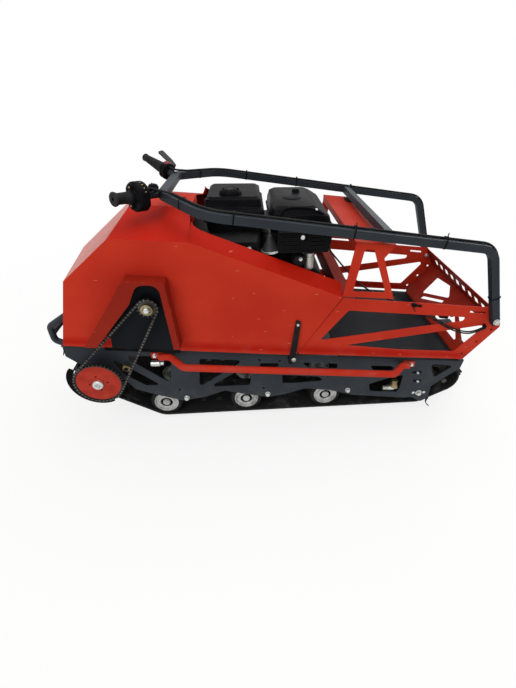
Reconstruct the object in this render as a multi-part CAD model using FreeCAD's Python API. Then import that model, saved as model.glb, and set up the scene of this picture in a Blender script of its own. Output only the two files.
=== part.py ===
"""Tracked snow towing vehicle with a folded handlebar, as separate named solids.

Millimetres. The ground is z = 0 and y = 0 is the middle plane.
The front is -X, the load tray is at +X, the left side is -Y, and +Z is up.
"""
import FreeCAD, Part

import math
import os

V = FreeCAD.Vector
os.makedirs("parts", exist_ok=True)

# ---- Widths, worked outwards from the belt ---------------------------------------------
TRACK_WIDTH = 500.0
TRACK_GAP = 11.0
SIDE_T = 4.0
SIDE_OUT = TRACK_WIDTH / 2 + TRACK_GAP + SIDE_T
HOOD_STEP = 20.0
HOOD_OUT = SIDE_OUT + HOOD_STEP
TRAY_STEP = 4.0
TRAY_OUT = HOOD_OUT - TRAY_STEP
TRAY_T = 3.0
BAR = 25.0
BAR_GAP = 6.5
BAR_Y = TRAY_OUT + BAR_GAP + BAR / 2
RAIL_R = 12.5
RAIL_STAND = 70.0
RAIL_OUT = SIDE_OUT + RAIL_STAND
COVER_DEPTH = 48.0
COVER_OUT = HOOD_OUT + COVER_DEPTH
CHAIN_STAND = 23.0
CHAIN_Y = -HOOD_OUT - CHAIN_STAND
SEAT = 0.2

# ---- Hood: toe, nose, crease and tail lines of the side sheet --------------------------
SHEET = 2.0
HOOD_TOE = (-722.0, 404.0)
HOOD_FRONT = (-654.0, 639.0)
HOOD_CREASE = (-497.0, 769.0)
HOOD_BACK = (-266.0, 752.0)
HOOD_TAIL = (204.0, 555.0)
HOOD_HEEL_X = 56.0
HOOD_EDGE_UP = 6.0
HOOD_FLANGE = 46.0
HOOD_FLANGE_RISE = 33.0
HOOD_FLANGE_CORNER = 42.0
HOOD_TOP_Z = 812.0
HOOD_TOP_HALF = 88.0
HOOD_TOP_REAR = -285.0
NOSE_PROW = 40.0
SEAM = 2.6
COVER_CORNERS = ((-468.0, 657.0), (-349.0, 646.0), (-333.0, 404.0), (-630.0, 428.0))
COVER_RIM = 9.0

# ---- Deck line, which falls towards the rear ------------------------------------------
DECK_Z = 324.0
DECK_T = 2.5
PITCH_SLOPE = 0.0969

# ---- Load tray and tail ----------------------------------------------------------------
TRAY_LENGTH = 548.0
TAIL_TOP = (HOOD_TAIL[0] + TRAY_LENGTH, 490.0)
TAIL_KNEE = (TAIL_TOP[0] + 40.0, 412.0)
TAIL_FOOT_X = TAIL_TOP[0] - 59.0
TAIL_FOOT = (TAIL_FOOT_X, DECK_Z + 16.1517 - PITCH_SLOPE * TAIL_FOOT_X)
FLOOR_REAR = TAIL_FOOT[0] - 6.0
HITCH_REAR = TAIL_KNEE[0] + 8.0
HITCH_HALF = 35.0
HITCH_Z = 236.0
HITCH_T = 10.0
HITCH_HOLE_R = 9.0
HITCH_HOLE_BACK = 25.0
BRACKET_TOP_Z = 744.0
BRACKET_FRONT = 229.0
BRACKET_REAR = 354.0
CROSS_X = 325.0
PAD_T = 7.0
SLOT_HALF = 15.0
SLOT_PITCH = 50.0

# ---- Side plates -----------------------------------------------------------------------
PLATE_FRONT = -738.0
PLATE_REAR = TAIL_FOOT[0] + 21.0

# ---- Track and running gear ------------------------------------------------------------
BELT = 8.0
LUG = 22.0
LUG_FOOT = 16.0
LUG_PITCH = 64.0
LUG_INSET = 10.0
IDLER_X = TAIL_FOOT[0] - 31.0
IDLER_Z = 144.0
IDLER_R = 60.0
DRIVE_X = -635.0
DRIVE_Z = 256.0
DRIVE_R = 88.0
ROLLER_R = 62.0
ROLLER_HUB_R = 44.0
ROLLER_DISH = 7.0
ROLLER_X = (-438.0, -129.0, 186.0, IDLER_X - 97.0)
ROLLER_Z = LUG + BELT + ROLLER_R
ROLLER_W = 32.0
ROLLER_Y = (TRACK_WIDTH / 2 - 38.0, 70.0)
WHEEL_GAP = 0.5
AXLE_R = 10.0
DRIVE_AXLE_R = 15.0
ARM_REACH = 84.0
ARM_RISE = 34.0
ARM_T = 6.0
ARM_Y = SIDE_OUT - SIDE_T - 20.0

# ---- Final drive -----------------------------------------------------------------------
CHAIN_W = 12.0
CHAIN_H = 12.0
CHAIN_PITCH = 12.7
WHEEL_TEETH = 40
PINION_TEETH = 15
PINION = (-418.0, 551.0)
PINION_SHAFT_R = 11.0
WHEEL_T = 6.0

# ---- Handlebar, folded forwards over the machine ---------------------------------------
PIVOT = (TAIL_TOP[0] - 4.0, 454.0)
RUN_SLOPE = 0.1339
RUN_AT_CROSS = 762.4548
CORNER_X = PIVOT[0] - 91.0
CORNER = (CORNER_X, RUN_AT_CROSS - RUN_SLOPE * (CORNER_X - CROSS_X))
CORNER_R = 62.0
BEND_X = -215.0
BEND_R = 130.0
FRONT_X = -355.0
FRONT_HALF = 140.0
FRONT_R = 34.0
PIN_R = 6.0
PIN_GAP = 0.06
GRIP_TUBE_R = 11.0
GRIP_R = 15.0
GRIP_FLANGE_R = 19.0
GRIP_ROOT_Y = 124.0
GRIP_SPREAD = {-1: 1.12, 1: 0.96}
GRIP_RISE = {-1: 0.14, 1: 0.36}
GRIP_LENGTH = {-1: 170.0, 1: 186.0}
HOUSING_R = 42.0
HOUSING_W = 30.0
HOUSING_AT = {-1: 74.0, 1: 40.0}
BUMPER_R = 11.0
CORD_R = 3.5
LEAD_R = 2.6
LEAD_DROP = 7.5
CABLE_R = 2.8
CABLE_FROM = 163.5
CABLE_STOP = 14.0
BUMPER_FRONT = HOOD_TOE[0] - 78.0
BUMPER_HALF = 205.0

# ---- Engine ----------------------------------------------------------------------------
ENGINE_X = -10.0
ENGINE_Y = -20.0
ENGINE_W = 330.0
ENGINE_D = 300.0
ENGINE_BASE = 455.0
ENGINE_TOP = 735.0
TANK_FRONT = -24.0
TANK_REAR = 176.0
TANK_TOP = 816.0
TANK_Y = (-165.0, 142.0)
TANK_SEAM = 4.0
CLEANER_FRONT = -236.0
CLEANER_REAR = -44.0
CLEANER_TOP = 846.0
CLEANER_Y = (-170.0, 60.0)
KNOB_R = 30.0
KNOB_AT = (-150.0, -100.0)
CANISTER_R = 23.0
CANISTER_AT = (62.0, 664.0)
CANISTER_LEFT = -236.0
OUTLET_R = 14.0
OUTLET_AT = (97.0, -214.0)
GUARD_LEFT = -250.0
GUARD_X = (-8.0, 162.0)
GUARD_Z = (700.0, 766.0)
OUTPUT_SHAFT_LENGTH = 135.0
MOUNT_FRONT = ENGINE_X - 130.0
MOUNT_REAR = ENGINE_X + 110.0
CHANNEL = 40.0
CHANNEL_H = 30.0


# ---- Small makers ----------------------------------------------------------------------
def save(name, shape):
    """Write one node as a STEP file, with coplanar faces merged."""
    shape.removeSplitter().exportStep("parts/" + name + ".step")


def box(x0, x1, y0, y1, z0, z1):
    return Part.makeBox(x1 - x0, y1 - y0, z1 - z0, V(x0, y0, z0))


def rod_y(x, z, radius, y0, y1):
    return Part.makeCylinder(radius, y1 - y0, V(x, y0, z), V(0, 1, 0))


def rounded(points, radii):
    """A closed wire through 3-D points, with each corner rounded by its own radius."""
    count = len(points)
    if not isinstance(radii, (list, tuple)):
        radii = [radii] * count
    edges = []
    joins = []
    for i in range(count):
        here = points[i]
        back = points[i - 1] - here
        ahead = points[(i + 1) % count] - here
        back.normalize()
        ahead.normalize()
        turn = back.getAngle(ahead)
        if radii[i] <= 0 or turn > math.pi - 0.01:
            joins.append((here, None, here))
            continue
        reach = radii[i] / math.tan(turn / 2)
        middle = back + ahead
        middle.normalize()
        centre = here + middle * (radii[i] / math.sin(turn / 2))
        joins.append((here + back * reach, centre - middle * radii[i], here + ahead * reach))
    for i in range(count):
        start, crown, end = joins[i]
        if crown is not None:
            edges.append(Part.Arc(start, crown, end).toShape())
        follow = joins[(i + 1) % count][0]
        if (follow - end).Length > 1e-6:
            edges.append(Part.makeLine(end, follow))
    return Part.Wire(edges)


def slab(outline, y0, y1, radii=0.0, windows=()):
    """A flat plate in the XZ plane between two depths, with rounded windows cut through."""
    def solid(points, corner, low, high):
        wire = rounded([V(x, low, z) for x, z in points], corner)
        return Part.Face(wire).extrude(V(0, high - low, 0))
    plate = solid(outline, radii, y0, y1)
    for points, corner in windows:
        plate = plate.cut(solid(points, corner, y0 - 1, y1 + 1))
    return plate


def bent_bar(points, bends, section, side):
    """A bar of constant section along straight runs and tangent arcs.

    section is a half size for a square bar, or a negative radius for a round one.
    side is a unit vector across the first run.
    """
    def profile(place, along, across):
        up = along.cross(across)
        if section < 0:
            return Part.Face(Part.Wire(Part.makeCircle(-section, place, along)))
        corners = []
        for a, b in ((-1, -1), (1, -1), (1, 1), (-1, 1)):
            corners.append(place + across * (a * section) + up * (b * section))
        return Part.Face(Part.makePolygon(corners + corners[:1]))
    pieces = []
    start = points[0]
    along = points[1] - points[0]
    along.normalize()
    across = V(side)
    for i in range(1, len(points) - 1):
        corner = points[i]
        ahead = points[i + 1] - corner
        ahead.normalize()
        turn = along.getAngle(ahead)
        axis = along.cross(ahead)
        axis.normalize()
        reach = bends[i - 1] * math.tan(turn / 2)
        end = corner - along * reach
        pieces.append(profile(start, along, across).extrude(end - start))
        centre = end + axis.cross(along) * bends[i - 1]
        pieces.append(profile(end, along, across).revolve(centre, axis, math.degrees(turn)))
        across = FreeCAD.Rotation(axis, math.degrees(turn)).multVec(across)
        start = corner + ahead * reach
        along = ahead
    pieces.append(profile(start, along, across).extrude(points[-1] - start))
    return pieces[0].multiFuse(pieces[1:]).removeSplitter()


def cord(name, points, radius):
    """A round cord through hand-picked points, with the largest arcs that its runs allow."""
    bends = []
    for i in range(1, len(points) - 1):
        before = points[i] - points[i - 1]
        after = points[i + 1] - points[i]
        turn = before.getAngle(after)
        bends.append(0.45 * min(before.Length, after.Length) / math.tan(turn / 2))
    print(name, "radii", [round(bend) for bend in bends])
    return bent_bar(points, bends, -radius, V(0, 1, 0))


def mirrored(shape):
    return shape.mirror(V(0, 0, 0), V(0, 1, 0))


def joined(shapes):
    return shapes[0].multiFuse(shapes[1:])


def apart(shapes):
    """Solids of one node that do not touch."""
    return Part.makeCompound(shapes)


def deck_z(x):
    """Height of the deck line, which falls towards the rear."""
    return DECK_Z - PITCH_SLOPE * x


def thick_facet(corners, thickness=SHEET):
    """A planar facet through the first three corners, thickened to the inside of the machine."""
    a, b, c = corners[:3]
    normal = (b - a).cross(c - a)
    normal.normalize()
    if normal.z > 0:
        normal = normal * -1
    flat = []
    for corner in corners:
        flat.append(corner - normal * normal.dot(corner - a))
    return Part.Face(Part.makePolygon(flat + flat[:1])).extrude(normal * thickness)


# ---- Track and running gear ------------------------------------------------------------
def belt_circles(grow):
    """The wheels that the belt goes round, anticlockwise seen from the left side."""
    return [
        (ROLLER_X[0], ROLLER_Z, ROLLER_R + grow),
        (ROLLER_X[-1], ROLLER_Z, ROLLER_R + grow),
        (IDLER_X, IDLER_Z, IDLER_R + grow),
        (DRIVE_X, DRIVE_Z, DRIVE_R + grow),
    ]


def tangent_loop(circles):
    """Tangent points round a convex belt: a list of (leave, arrive, lean) for each next pair."""
    spans = []
    for i, (x0, z0, r0) in enumerate(circles):
        x1, z1, r1 = circles[(i + 1) % len(circles)]
        gap = math.hypot(x1 - x0, z1 - z0)
        heading = math.atan2(z1 - z0, x1 - x0)
        lean = heading - math.pi / 2 - math.asin((r1 - r0) / gap)
        side = (math.cos(lean), math.sin(lean))
        leave = (x0 + r0 * side[0], z0 + r0 * side[1])
        arrive = (x1 + r1 * side[0], z1 + r1 * side[1])
        spans.append((leave, arrive, lean))
    return spans


def loop_face(circles, y):
    spans = tangent_loop(circles)
    edges = []
    for i, (leave, arrive, lean) in enumerate(spans):
        edges.append(Part.makeLine(V(leave[0], y, leave[1]), V(arrive[0], y, arrive[1])))
        follow, _, next_lean = spans[(i + 1) % len(spans)]
        x, z, r = circles[(i + 1) % len(circles)]
        turn = (next_lean - lean) % (2 * math.pi)
        crown = lean + turn / 2
        top = V(x + r * math.cos(crown), y, z + r * math.sin(crown))
        edges.append(Part.Arc(V(arrive[0], y, arrive[1]), top, V(follow[0], y, follow[1])).toShape())
    return Part.Face(Part.Wire(edges))


def loop_points(circles, pitch):
    """Evenly spaced points with outward directions along a belt line."""
    spans = tangent_loop(circles)
    stretches = []
    for i, (leave, arrive, lean) in enumerate(spans):
        stretches.append(("line", leave, arrive, lean, math.dist(leave, arrive)))
        x, z, r = circles[(i + 1) % len(circles)]
        turn = (spans[(i + 1) % len(spans)][2] - lean) % (2 * math.pi)
        stretches.append(("arc", (x, z), r, lean, r * turn))
    total = sum(stretch[4] for stretch in stretches)
    count = round(total / pitch)
    places = []
    for k in range(count):
        s = total * k / count
        for kind, a, b, lean, length in stretches:
            if s <= length:
                break
            s -= length
        if kind == "line":
            t = s / length
            places.append((a[0] + (b[0] - a[0]) * t, a[1] + (b[1] - a[1]) * t, lean))
        else:
            angle = lean + s / b
            places.append((a[0] + b * math.cos(angle), a[1] + b * math.sin(angle), angle))
    return places


def track():
    """One closed belt with its cross lugs in its outline."""
    half = TRACK_WIDTH / 2
    root = 1.5
    outer = loop_face(belt_circles(BELT), -half).extrude(V(0, TRACK_WIDTH, 0))
    inner = loop_face(belt_circles(0.0), -half - 1).extrude(V(0, TRACK_WIDTH + 2, 0))
    lugs = []
    for x, z, angle in loop_points(belt_circles(BELT), LUG_PITCH):
        foot = LUG_FOOT / 2
        crest = foot / 2
        lug = Part.makePolygon([V(-root, 0, -foot), V(-root, 0, foot), V(LUG, 0, crest),
                                V(LUG, 0, -crest), V(-root, 0, -foot)])
        solid = Part.Face(lug).extrude(V(0, TRACK_WIDTH - 2 * LUG_INSET, 0))
        solid.translate(V(0, LUG_INSET - half, 0))
        solid.rotate(V(0, 0, 0), V(0, 1, 0), -math.degrees(angle))
        solid.translate(V(x, 0, z))
        lugs.append(solid)
    return outer.cut(inner).multiFuse(lugs)


def roller_set(x):
    """One axle with its four rubber-tyred rollers, each dished on both faces."""
    carried_by_plate = x == ROLLER_X[-1]
    reach = SIDE_OUT - SIDE_T if carried_by_plate else ARM_Y + ARM_T / 2 + 8
    pieces = [rod_y(x, ROLLER_Z, AXLE_R, -reach, reach)]
    boss_r = AXLE_R + 12
    for y in ROLLER_Y:
        for side in (-1, 1):
            low = side * y - ROLLER_W / 2
            high = side * y + ROLLER_W / 2
            wheel = rod_y(x, ROLLER_Z, ROLLER_R - WHEEL_GAP, low, high)
            for start in (low, high - ROLLER_DISH):
                dish = rod_y(x, ROLLER_Z, ROLLER_HUB_R, start, start + ROLLER_DISH)
                wheel = wheel.cut(dish.cut(rod_y(x, ROLLER_Z, boss_r, start, start + ROLLER_DISH)))
            pieces.append(wheel)
    return joined(pieces)


def roller_arms(side):
    """Swing arms from the frame bolts down to the front three roller axles."""
    z = ROLLER_Z
    arms = []
    for x in ROLLER_X[:-1]:
        y0 = side * ARM_Y - ARM_T / 2
        top_x = x + ARM_REACH
        top_z = z + ARM_RISE
        outline = [(x - 14, z - 10), (x + 6, z - 16), (top_x + 15, top_z - 8), (top_x + 6, top_z + 15),
                   (top_x - 12, top_z + 12), (x - 12, z + 14)]
        hole = rod_y(x, z, AXLE_R + PIN_GAP, y0 - 1, y0 + ARM_T + 1)
        stud_low = y0 + ARM_T if side > 0 else SIDE_T - SIDE_OUT
        stud_high = SIDE_OUT - SIDE_T if side > 0 else y0
        arm = slab(outline, y0, y0 + ARM_T, 6).cut(hole)
        arms.append(arm.fuse(rod_y(top_x, top_z, 8, stud_low, stud_high)))
    return apart(arms)


def rear_idler():
    reach = SIDE_OUT - SIDE_T
    wheel_y = TRACK_WIDTH * 0.3
    pieces = [rod_y(IDLER_X, IDLER_Z, AXLE_R, -reach, reach)]
    for y in (-wheel_y, 0.0, wheel_y):
        pieces.append(rod_y(IDLER_X, IDLER_Z, IDLER_R - WHEEL_GAP, y - 18, y + 18))
    return joined(pieces)


def drive_axle():
    """Cross shaft with two drums that drive the belt."""
    drum_y = TRACK_WIDTH * 0.22
    pieces = [rod_y(DRIVE_X, DRIVE_Z, DRIVE_AXLE_R, CHAIN_Y - 14, SIDE_OUT + 20)]
    for y in (-drum_y, drum_y):
        pieces.append(rod_y(DRIVE_X, DRIVE_Z, DRIVE_R - WHEEL_GAP, y - 22, y + 22))
    return joined(pieces)


# ---- Side plates, deck and rails -------------------------------------------------------
def side_plate(side):
    """Dark pressed plate that carries the axles, with its scalloped lower edge."""
    outline = [
        (PLATE_FRONT, deck_z(PLATE_FRONT)), (PLATE_REAR, deck_z(PLATE_REAR)), (PLATE_REAR - 6, 210),
        (661, 170), (611, 123), (611, 60), (583, 42), (542, 67), (508, 67), (445, 76), (291, 97),
        (200, 128), (100, 144), (22, 119), (-44, 108), (-133, 130), (-208, 153), (-286, 125),
        (-371, 112), (-489, 160), (-534, 182), (-562, 226), (-700, 308), (PLATE_FRONT, 345),
    ]
    windows = [
        ([(-551, 337), (-385, 328), (-403, 200)], 10),
        ([(-587, 305), (-584, 323), (-520, 268), (-440, 195), (-493, 196), (-563, 254)], 6),
        ([(-288, 311), (-128, 295), (-302, 176)], 10),
        ([(-266, 174), (-113, 175), (-101, 243), (-156, 246)], 8),
        ([(-75, 269), (-68, 278), (-6, 275), (-2, 263), (-12, 253), (-71, 256)], 3),
        ([(76, 274), (217, 260), (220, 237), (114, 243)], 6),
        ([(10, 217), (147, 201), (174, 179), (52, 174), (11, 177)], 6),
        ([(343, 244), (427, 237), (448, 223), (428, 214), (361, 220)], 5),
        ([(353, 150), (431, 178), (484, 190), (482, 118), (473, 100), (400, 107), (361, 113)], 5),
        ([(584, 238), (684, 228), (612, 167)], 10),
    ]
    low = side * SIDE_OUT - (SIDE_T if side > 0 else 0)
    plate = slab(outline, low, low + SIDE_T, [6] + [8] * (len(outline) - 1), windows)
    holes = [rod_y(DRIVE_X, DRIVE_Z, DRIVE_AXLE_R + PIN_GAP, low - 1, low + SIDE_T + 1)]
    for x, z in ((-74, 293), (0, 285), (-61, 156), (-376, 167)):
        holes.append(rod_y(x, z, 5, low - 1, low + SIDE_T + 1))
    return plate.cut(joined(holes))


def deck_sheet(front, rear):
    """A flat sheet that lies along the top edges of the side plates."""
    half = TRAY_OUT - TRAY_T - SEAT
    low = [(front, deck_z(front) + SEAT), (rear, deck_z(rear) + SEAT)]
    high = [(rear, deck_z(rear) + SEAT + DECK_T), (front, deck_z(front) + SEAT + DECK_T)]
    return slab(low + high, -half, half)


def deck_plate():
    """Folded sheet over the track, with its front edge turned down between the side plates."""
    front = PLATE_FRONT + 4
    half = SIDE_OUT - SIDE_T - SEAT
    lip = box(front, front + DECK_T, -half, half, 345, deck_z(front) + DECK_T)
    return deck_sheet(front, HOOD_TAIL[0] + 4).fuse(lip)


def tray_floor():
    return deck_sheet(HOOD_TAIL[0] + 8, FLOOR_REAR)


def side_rail(side):
    """Red bumper tube along the side plate, with flat bolted ends."""
    near = SIDE_OUT + RAIL_R + SEAT
    far = RAIL_OUT - RAIL_R
    slope = 0.098
    front = (-335.0, 320.0)
    rear = (420.0, front[1] - slope * (420.0 - front[0]))
    path = [V(front[0] - 88, -near, 335), V(front[0] - 50, -near, 335), V(front[0], -far, front[1]),
            V(rear[0], -far, rear[1]), V(rear[0] + 46, -near, 250), V(rear[0] + 70, -near, 246)]
    tube = bent_bar(path, [26, 30, 30, 26], -RAIL_R, V(0, 0, 1))
    tab_low = -SIDE_OUT - SEAT - 5
    tab_high = -SIDE_OUT - SEAT
    front_tab = slab([(-452, 324), (-405, 322), (-405, 348), (-452, 350)], tab_low, tab_high, 6)
    rear_tab = slab([(470, 236), (516, 232), (516, 258), (470, 262)], tab_low, tab_high, 6)
    rail = joined([tube, front_tab, rear_tab])
    return rail if side < 0 else mirrored(rail)


# ---- Hood ------------------------------------------------------------------------------
def nose_rise():
    return (HOOD_CREASE[1] - HOOD_FRONT[1]) / (HOOD_CREASE[0] - HOOD_FRONT[0])


def hood_fall():
    """How far the crease and the top drop for each unit towards the rear."""
    return (HOOD_CREASE[1] - HOOD_BACK[1]) / (HOOD_BACK[0] - HOOD_CREASE[0])


def prow(y):
    """How far the front stands ahead of its side edges at this depth."""
    return NOSE_PROW * (1 - abs(y) / HOOD_OUT)


def nose_point(y, z):
    return V(HOOD_FRONT[0] - prow(y) + (z - HOOD_FRONT[1]) / nose_rise(), y, z)


def toe_point(y, z):
    lean = (HOOD_FRONT[0] - HOOD_TOE[0]) / (HOOD_FRONT[1] - HOOD_TOE[1])
    return V(HOOD_TOE[0] - prow(y) + (z - HOOD_TOE[1]) * lean, y, z)


def top_point(x, y):
    corner = nose_point(HOOD_TOP_HALF, HOOD_TOP_Z)
    return V(x, y, HOOD_TOP_Z - hood_fall() * (x - corner.x))


def top_tip():
    """Where the ridge of the nose meets the top sheet."""
    corner = nose_point(HOOD_TOP_HALF, HOOD_TOP_Z)
    ahead = corner.x - nose_point(0, HOOD_TOP_Z).x
    rise = ahead / (1 / nose_rise() + 1 / hood_fall())
    return nose_point(0, HOOD_TOP_Z + rise)


def hood_side(side):
    """Flat side sheet, the leaning strip above its crease, and the opening's flange and gusset."""
    outline = [HOOD_TOE, (HOOD_HEEL_X, deck_z(HOOD_HEEL_X) + HOOD_EDGE_UP), HOOD_TAIL,
               HOOD_BACK, HOOD_CREASE, HOOD_FRONT]
    low = -HOOD_OUT
    sheet = slab(outline, low, low + SHEET)
    crown = thick_facet([V(HOOD_CREASE[0], low, HOOD_CREASE[1]), V(HOOD_BACK[0], low, HOOD_BACK[1]),
                         top_point(HOOD_TOP_REAR, -HOOD_TOP_HALF), nose_point(-HOOD_TOP_HALF, HOOD_TOP_Z)])
    back = V(HOOD_BACK[0], low, HOOD_BACK[1])
    tail = V(HOOD_TAIL[0], low, HOOD_TAIL[1])
    inwards = V(0, HOOD_FLANGE, HOOD_FLANGE_RISE)
    edge = [back, tail, tail + inwards]
    run = (tail - back) * (HOOD_FLANGE_CORNER / back.distanceToPoint(tail))
    for step in range(6):
        angle = math.pi / 2 * step / 5
        edge.append(back + run * (1 - math.sin(angle)) + inwards * (1.35 - 0.35 * math.cos(angle)))
    flange = thick_facet(edge)
    tip = edge[-1]
    along = top_point(HOOD_TOP_REAR, -HOOD_TOP_HALF) - back
    along.normalize()
    peak = back + along * tip.distanceToPoint(back)
    gusset = thick_facet([back + V(0, 1, -4), tip + run * 0.07, peak - V(3, 0, 1)])
    shape = joined([sheet, crown, flange, gusset])
    if side > 0:
        return mirrored(shape)
    return shape.cut(rod_y(PINION[0], PINION[1], PINION_SHAFT_R + 2, low - 1, low + SHEET + 1))


def hood_front():
    """Leaning toe panel and the sloping nose above it, both folded along the middle."""
    half = HOOD_OUT - SHEET - SEAT
    top_half = HOOD_TOP_HALF - SEAM
    z0 = HOOD_TOE[1]
    z1 = HOOD_FRONT[1]
    z2 = HOOD_CREASE[1] - SEAM
    tip = top_tip()
    facets = []
    for side in (-1, 1):
        toe = [toe_point(side * half, z0), toe_point(0, z0), toe_point(0, z1), toe_point(side * half, z1)]
        nose = [nose_point(side * half, z1), nose_point(0, z1), nose_point(0, tip.z - SEAM),
                nose_point(side * top_half, HOOD_TOP_Z - SEAM), nose_point(side * half, z2)]
        facets.append(thick_facet(toe))
        facets.append(thick_facet(nose))
    return joined(facets)


def hood_top():
    """Narrow top sheet that falls with the crease, with its rear edge turned down."""
    half = HOOD_TOP_HALF - 0.6
    front = nose_point(half, HOOD_TOP_Z)
    rear = top_point(HOOD_TOP_REAR, half)
    outline = [V(front.x + 1, -half, front.z), top_tip() + V(1, 0, 0), V(front.x + 1, half, front.z),
               V(rear.x, half, rear.z), V(rear.x, -half, rear.z)]
    back = box(rear.x - SHEET, rear.x, -half, half, rear.z - 60, rear.z - SHEET / 2)
    return thick_facet(outline).fuse(back)


def cover_inside(inset):
    """Outline inside the chain cover's rim, which runs on below its open foot."""
    front_top, rear_top, rear_foot, front_foot = COVER_CORNERS
    return [(front_top[0] + inset, front_top[1] - inset), (rear_top[0] - inset, rear_top[1] - inset),
            (rear_foot[0] - inset, rear_foot[1] - 24), (front_foot[0] + inset - 18, front_foot[1] - 28)]


def chain_cover():
    """Raised sheet box on the left side, open below and through its arched window."""
    low = -COVER_OUT
    high = -HOOD_OUT - SEAT
    shell = slab(COVER_CORNERS, low, high)
    hollow = slab(cover_inside(COVER_RIM), low + SHEET, high + 1)
    arch = slab([(-431, 642), (-367, 642), (-352, 380), (-631, 380), (-462, 579)], low - 1, low + SHEET + 1,
                [30, 30, 0, 0, 20])
    return shell.cut(hollow).cut(arch)


def chain_cover_back():
    """Dark plate on the hood's side behind the chain."""
    high = -HOOD_OUT - SEAT
    front_top, rear_top, _, _ = cover_inside(COVER_RIM + 2)
    outline = [front_top, rear_top, (-345, 369), (-566, 391), (-562, 428), (-592, 458)]
    plate = slab(outline, high - 1.5, high, [4, 4, 0, 0, 0, 0])
    return plate.cut(rod_y(PINION[0], PINION[1], PINION_SHAFT_R + 2, high - 3, high + 1))


def hood_latches():
    """Rubber straps from the side plates that hold the hood down, one on each side."""
    y0 = -HOOD_OUT - 7
    y1 = -HOOD_OUT - SEAT
    strap = slab([(29, 290), (46, 289), (68, 470), (52, 473)], y0, y1, 3)
    foot = box(30, 44, y1 - 1, -SIDE_OUT - SEAT, 291, 305)
    latch = strap.fuse(foot)
    return apart([latch, mirrored(latch)])


# ---- Final drive -----------------------------------------------------------------------
def pitch_radius(teeth):
    return CHAIN_PITCH / (2 * math.sin(math.pi / teeth))


def chain_circles(grow):
    return [
        (DRIVE_X, DRIVE_Z, pitch_radius(WHEEL_TEETH) + grow),
        (PINION[0], PINION[1], pitch_radius(PINION_TEETH) + grow),
    ]


def sprocket(x, z, teeth, y0, y1):
    """Chain wheel with pointed teeth between root and tip circles."""
    pitch = pitch_radius(teeth)
    depth = 0.28 * CHAIN_PITCH
    points = []
    for k in range(teeth):
        for share, reach in ((-0.5, -depth), (-0.2, -depth), (-0.07, depth), (0.07, depth), (0.2, -depth)):
            angle = 2 * math.pi * (k + share) / teeth
            points.append((x + (pitch + reach) * math.cos(angle), z + (pitch + reach) * math.sin(angle)))
    return slab(points, y0, y1)


def driven_sprocket():
    y0 = CHAIN_Y - WHEEL_T / 2
    y1 = CHAIN_Y + WHEEL_T / 2
    wheel = sprocket(DRIVE_X, DRIVE_Z, WHEEL_TEETH, y0, y1)
    hub = rod_y(DRIVE_X, DRIVE_Z, DRIVE_AXLE_R + 9, y0, y1 + 16)
    holes = [rod_y(DRIVE_X, DRIVE_Z, DRIVE_AXLE_R + PIN_GAP, y0 - 40, y1 + 40)]
    ring = pitch_radius(WHEEL_TEETH) * 0.38
    for k in range(4):
        angle = 0.08 + k * math.pi / 2
        x = DRIVE_X + ring * math.cos(angle)
        z = DRIVE_Z + ring * math.sin(angle)
        holes.append(rod_y(x, z, 3.5, y0 - 1, y1 + 1))
    return wheel.fuse(hub).cut(joined(holes))


def output_sprocket():
    """Small wheel on the shaft that comes out of the engine block."""
    y0 = CHAIN_Y - WHEEL_T / 2
    y1 = CHAIN_Y + WHEEL_T / 2
    wheel = sprocket(PINION[0], PINION[1], PINION_TEETH, y0, y1)
    shaft = rod_y(PINION[0], PINION[1], PINION_SHAFT_R, y0 - 8, -HOOD_OUT + 135)
    return wheel.fuse(shaft)


def drive_chain():
    """Roller chain as one closed loop that lies round both wheels, slotted for their teeth."""
    y0 = CHAIN_Y - CHAIN_W / 2
    outer = loop_face(chain_circles(CHAIN_H / 2), y0).extrude(V(0, CHAIN_W, 0))
    inner = loop_face(chain_circles(-CHAIN_H / 2), y0 - 1).extrude(V(0, CHAIN_W + 2, 0))
    band = outer.cut(inner)
    slot_y = CHAIN_Y - WHEEL_T / 2 - 0.4
    slot_w = WHEEL_T + 0.8
    slot_out = loop_face(chain_circles(0.28 * CHAIN_PITCH + SEAT), slot_y).extrude(V(0, slot_w, 0))
    slot_in = loop_face(chain_circles(-CHAIN_H), slot_y).extrude(V(0, slot_w, 0))
    return band.cut(slot_out.cut(slot_in))


# ---- Engine ----------------------------------------------------------------------------
def engine_block():
    x0 = ENGINE_X - ENGINE_W / 2
    y0 = ENGINE_Y - ENGINE_D / 2
    return box(x0, x0 + ENGINE_W, y0, y0 + ENGINE_D, ENGINE_BASE, ENGINE_TOP)


def gearbox():
    """Plain block of the reverse gear between the engine and the output shaft."""
    front = PINION[0] - 60
    rear = ENGINE_X - ENGINE_W / 2 - SEAT
    block = box(front, rear, -HOOD_OUT + 40, 60, ENGINE_BASE, PINION[1] + 60)
    shaft_end = -HOOD_OUT + OUTPUT_SHAFT_LENGTH + SEAT
    return block.cut(rod_y(PINION[0], PINION[1], PINION_SHAFT_R + PIN_GAP, -HOOD_OUT, shaft_end))


def engine_mount():
    """Two cross channels and their uprights that hold the engine over the deck."""
    reach = HOOD_OUT - 8
    upright = SIDE_OUT - 25
    low = ENGINE_BASE - SEAT - CHANNEL_H
    pieces = []
    for x in (PINION[0] - 20, MOUNT_FRONT, MOUNT_REAR):
        pieces.append(box(x, x + CHANNEL, -reach, reach, low, low + CHANNEL_H))
        for side in (-1, 1):
            y = side * upright
            foot = deck_z(x) + SEAT + DECK_T + 0.1
            pieces.append(box(x, x + CHANNEL, y - 15, y + 15, foot, low + CHANNEL_H / 2))
    pieces.append(box(PINION[0], MOUNT_REAR + CHANNEL / 2, -15, 15, low, low + CHANNEL_H - 1))
    return joined(pieces)


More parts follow.
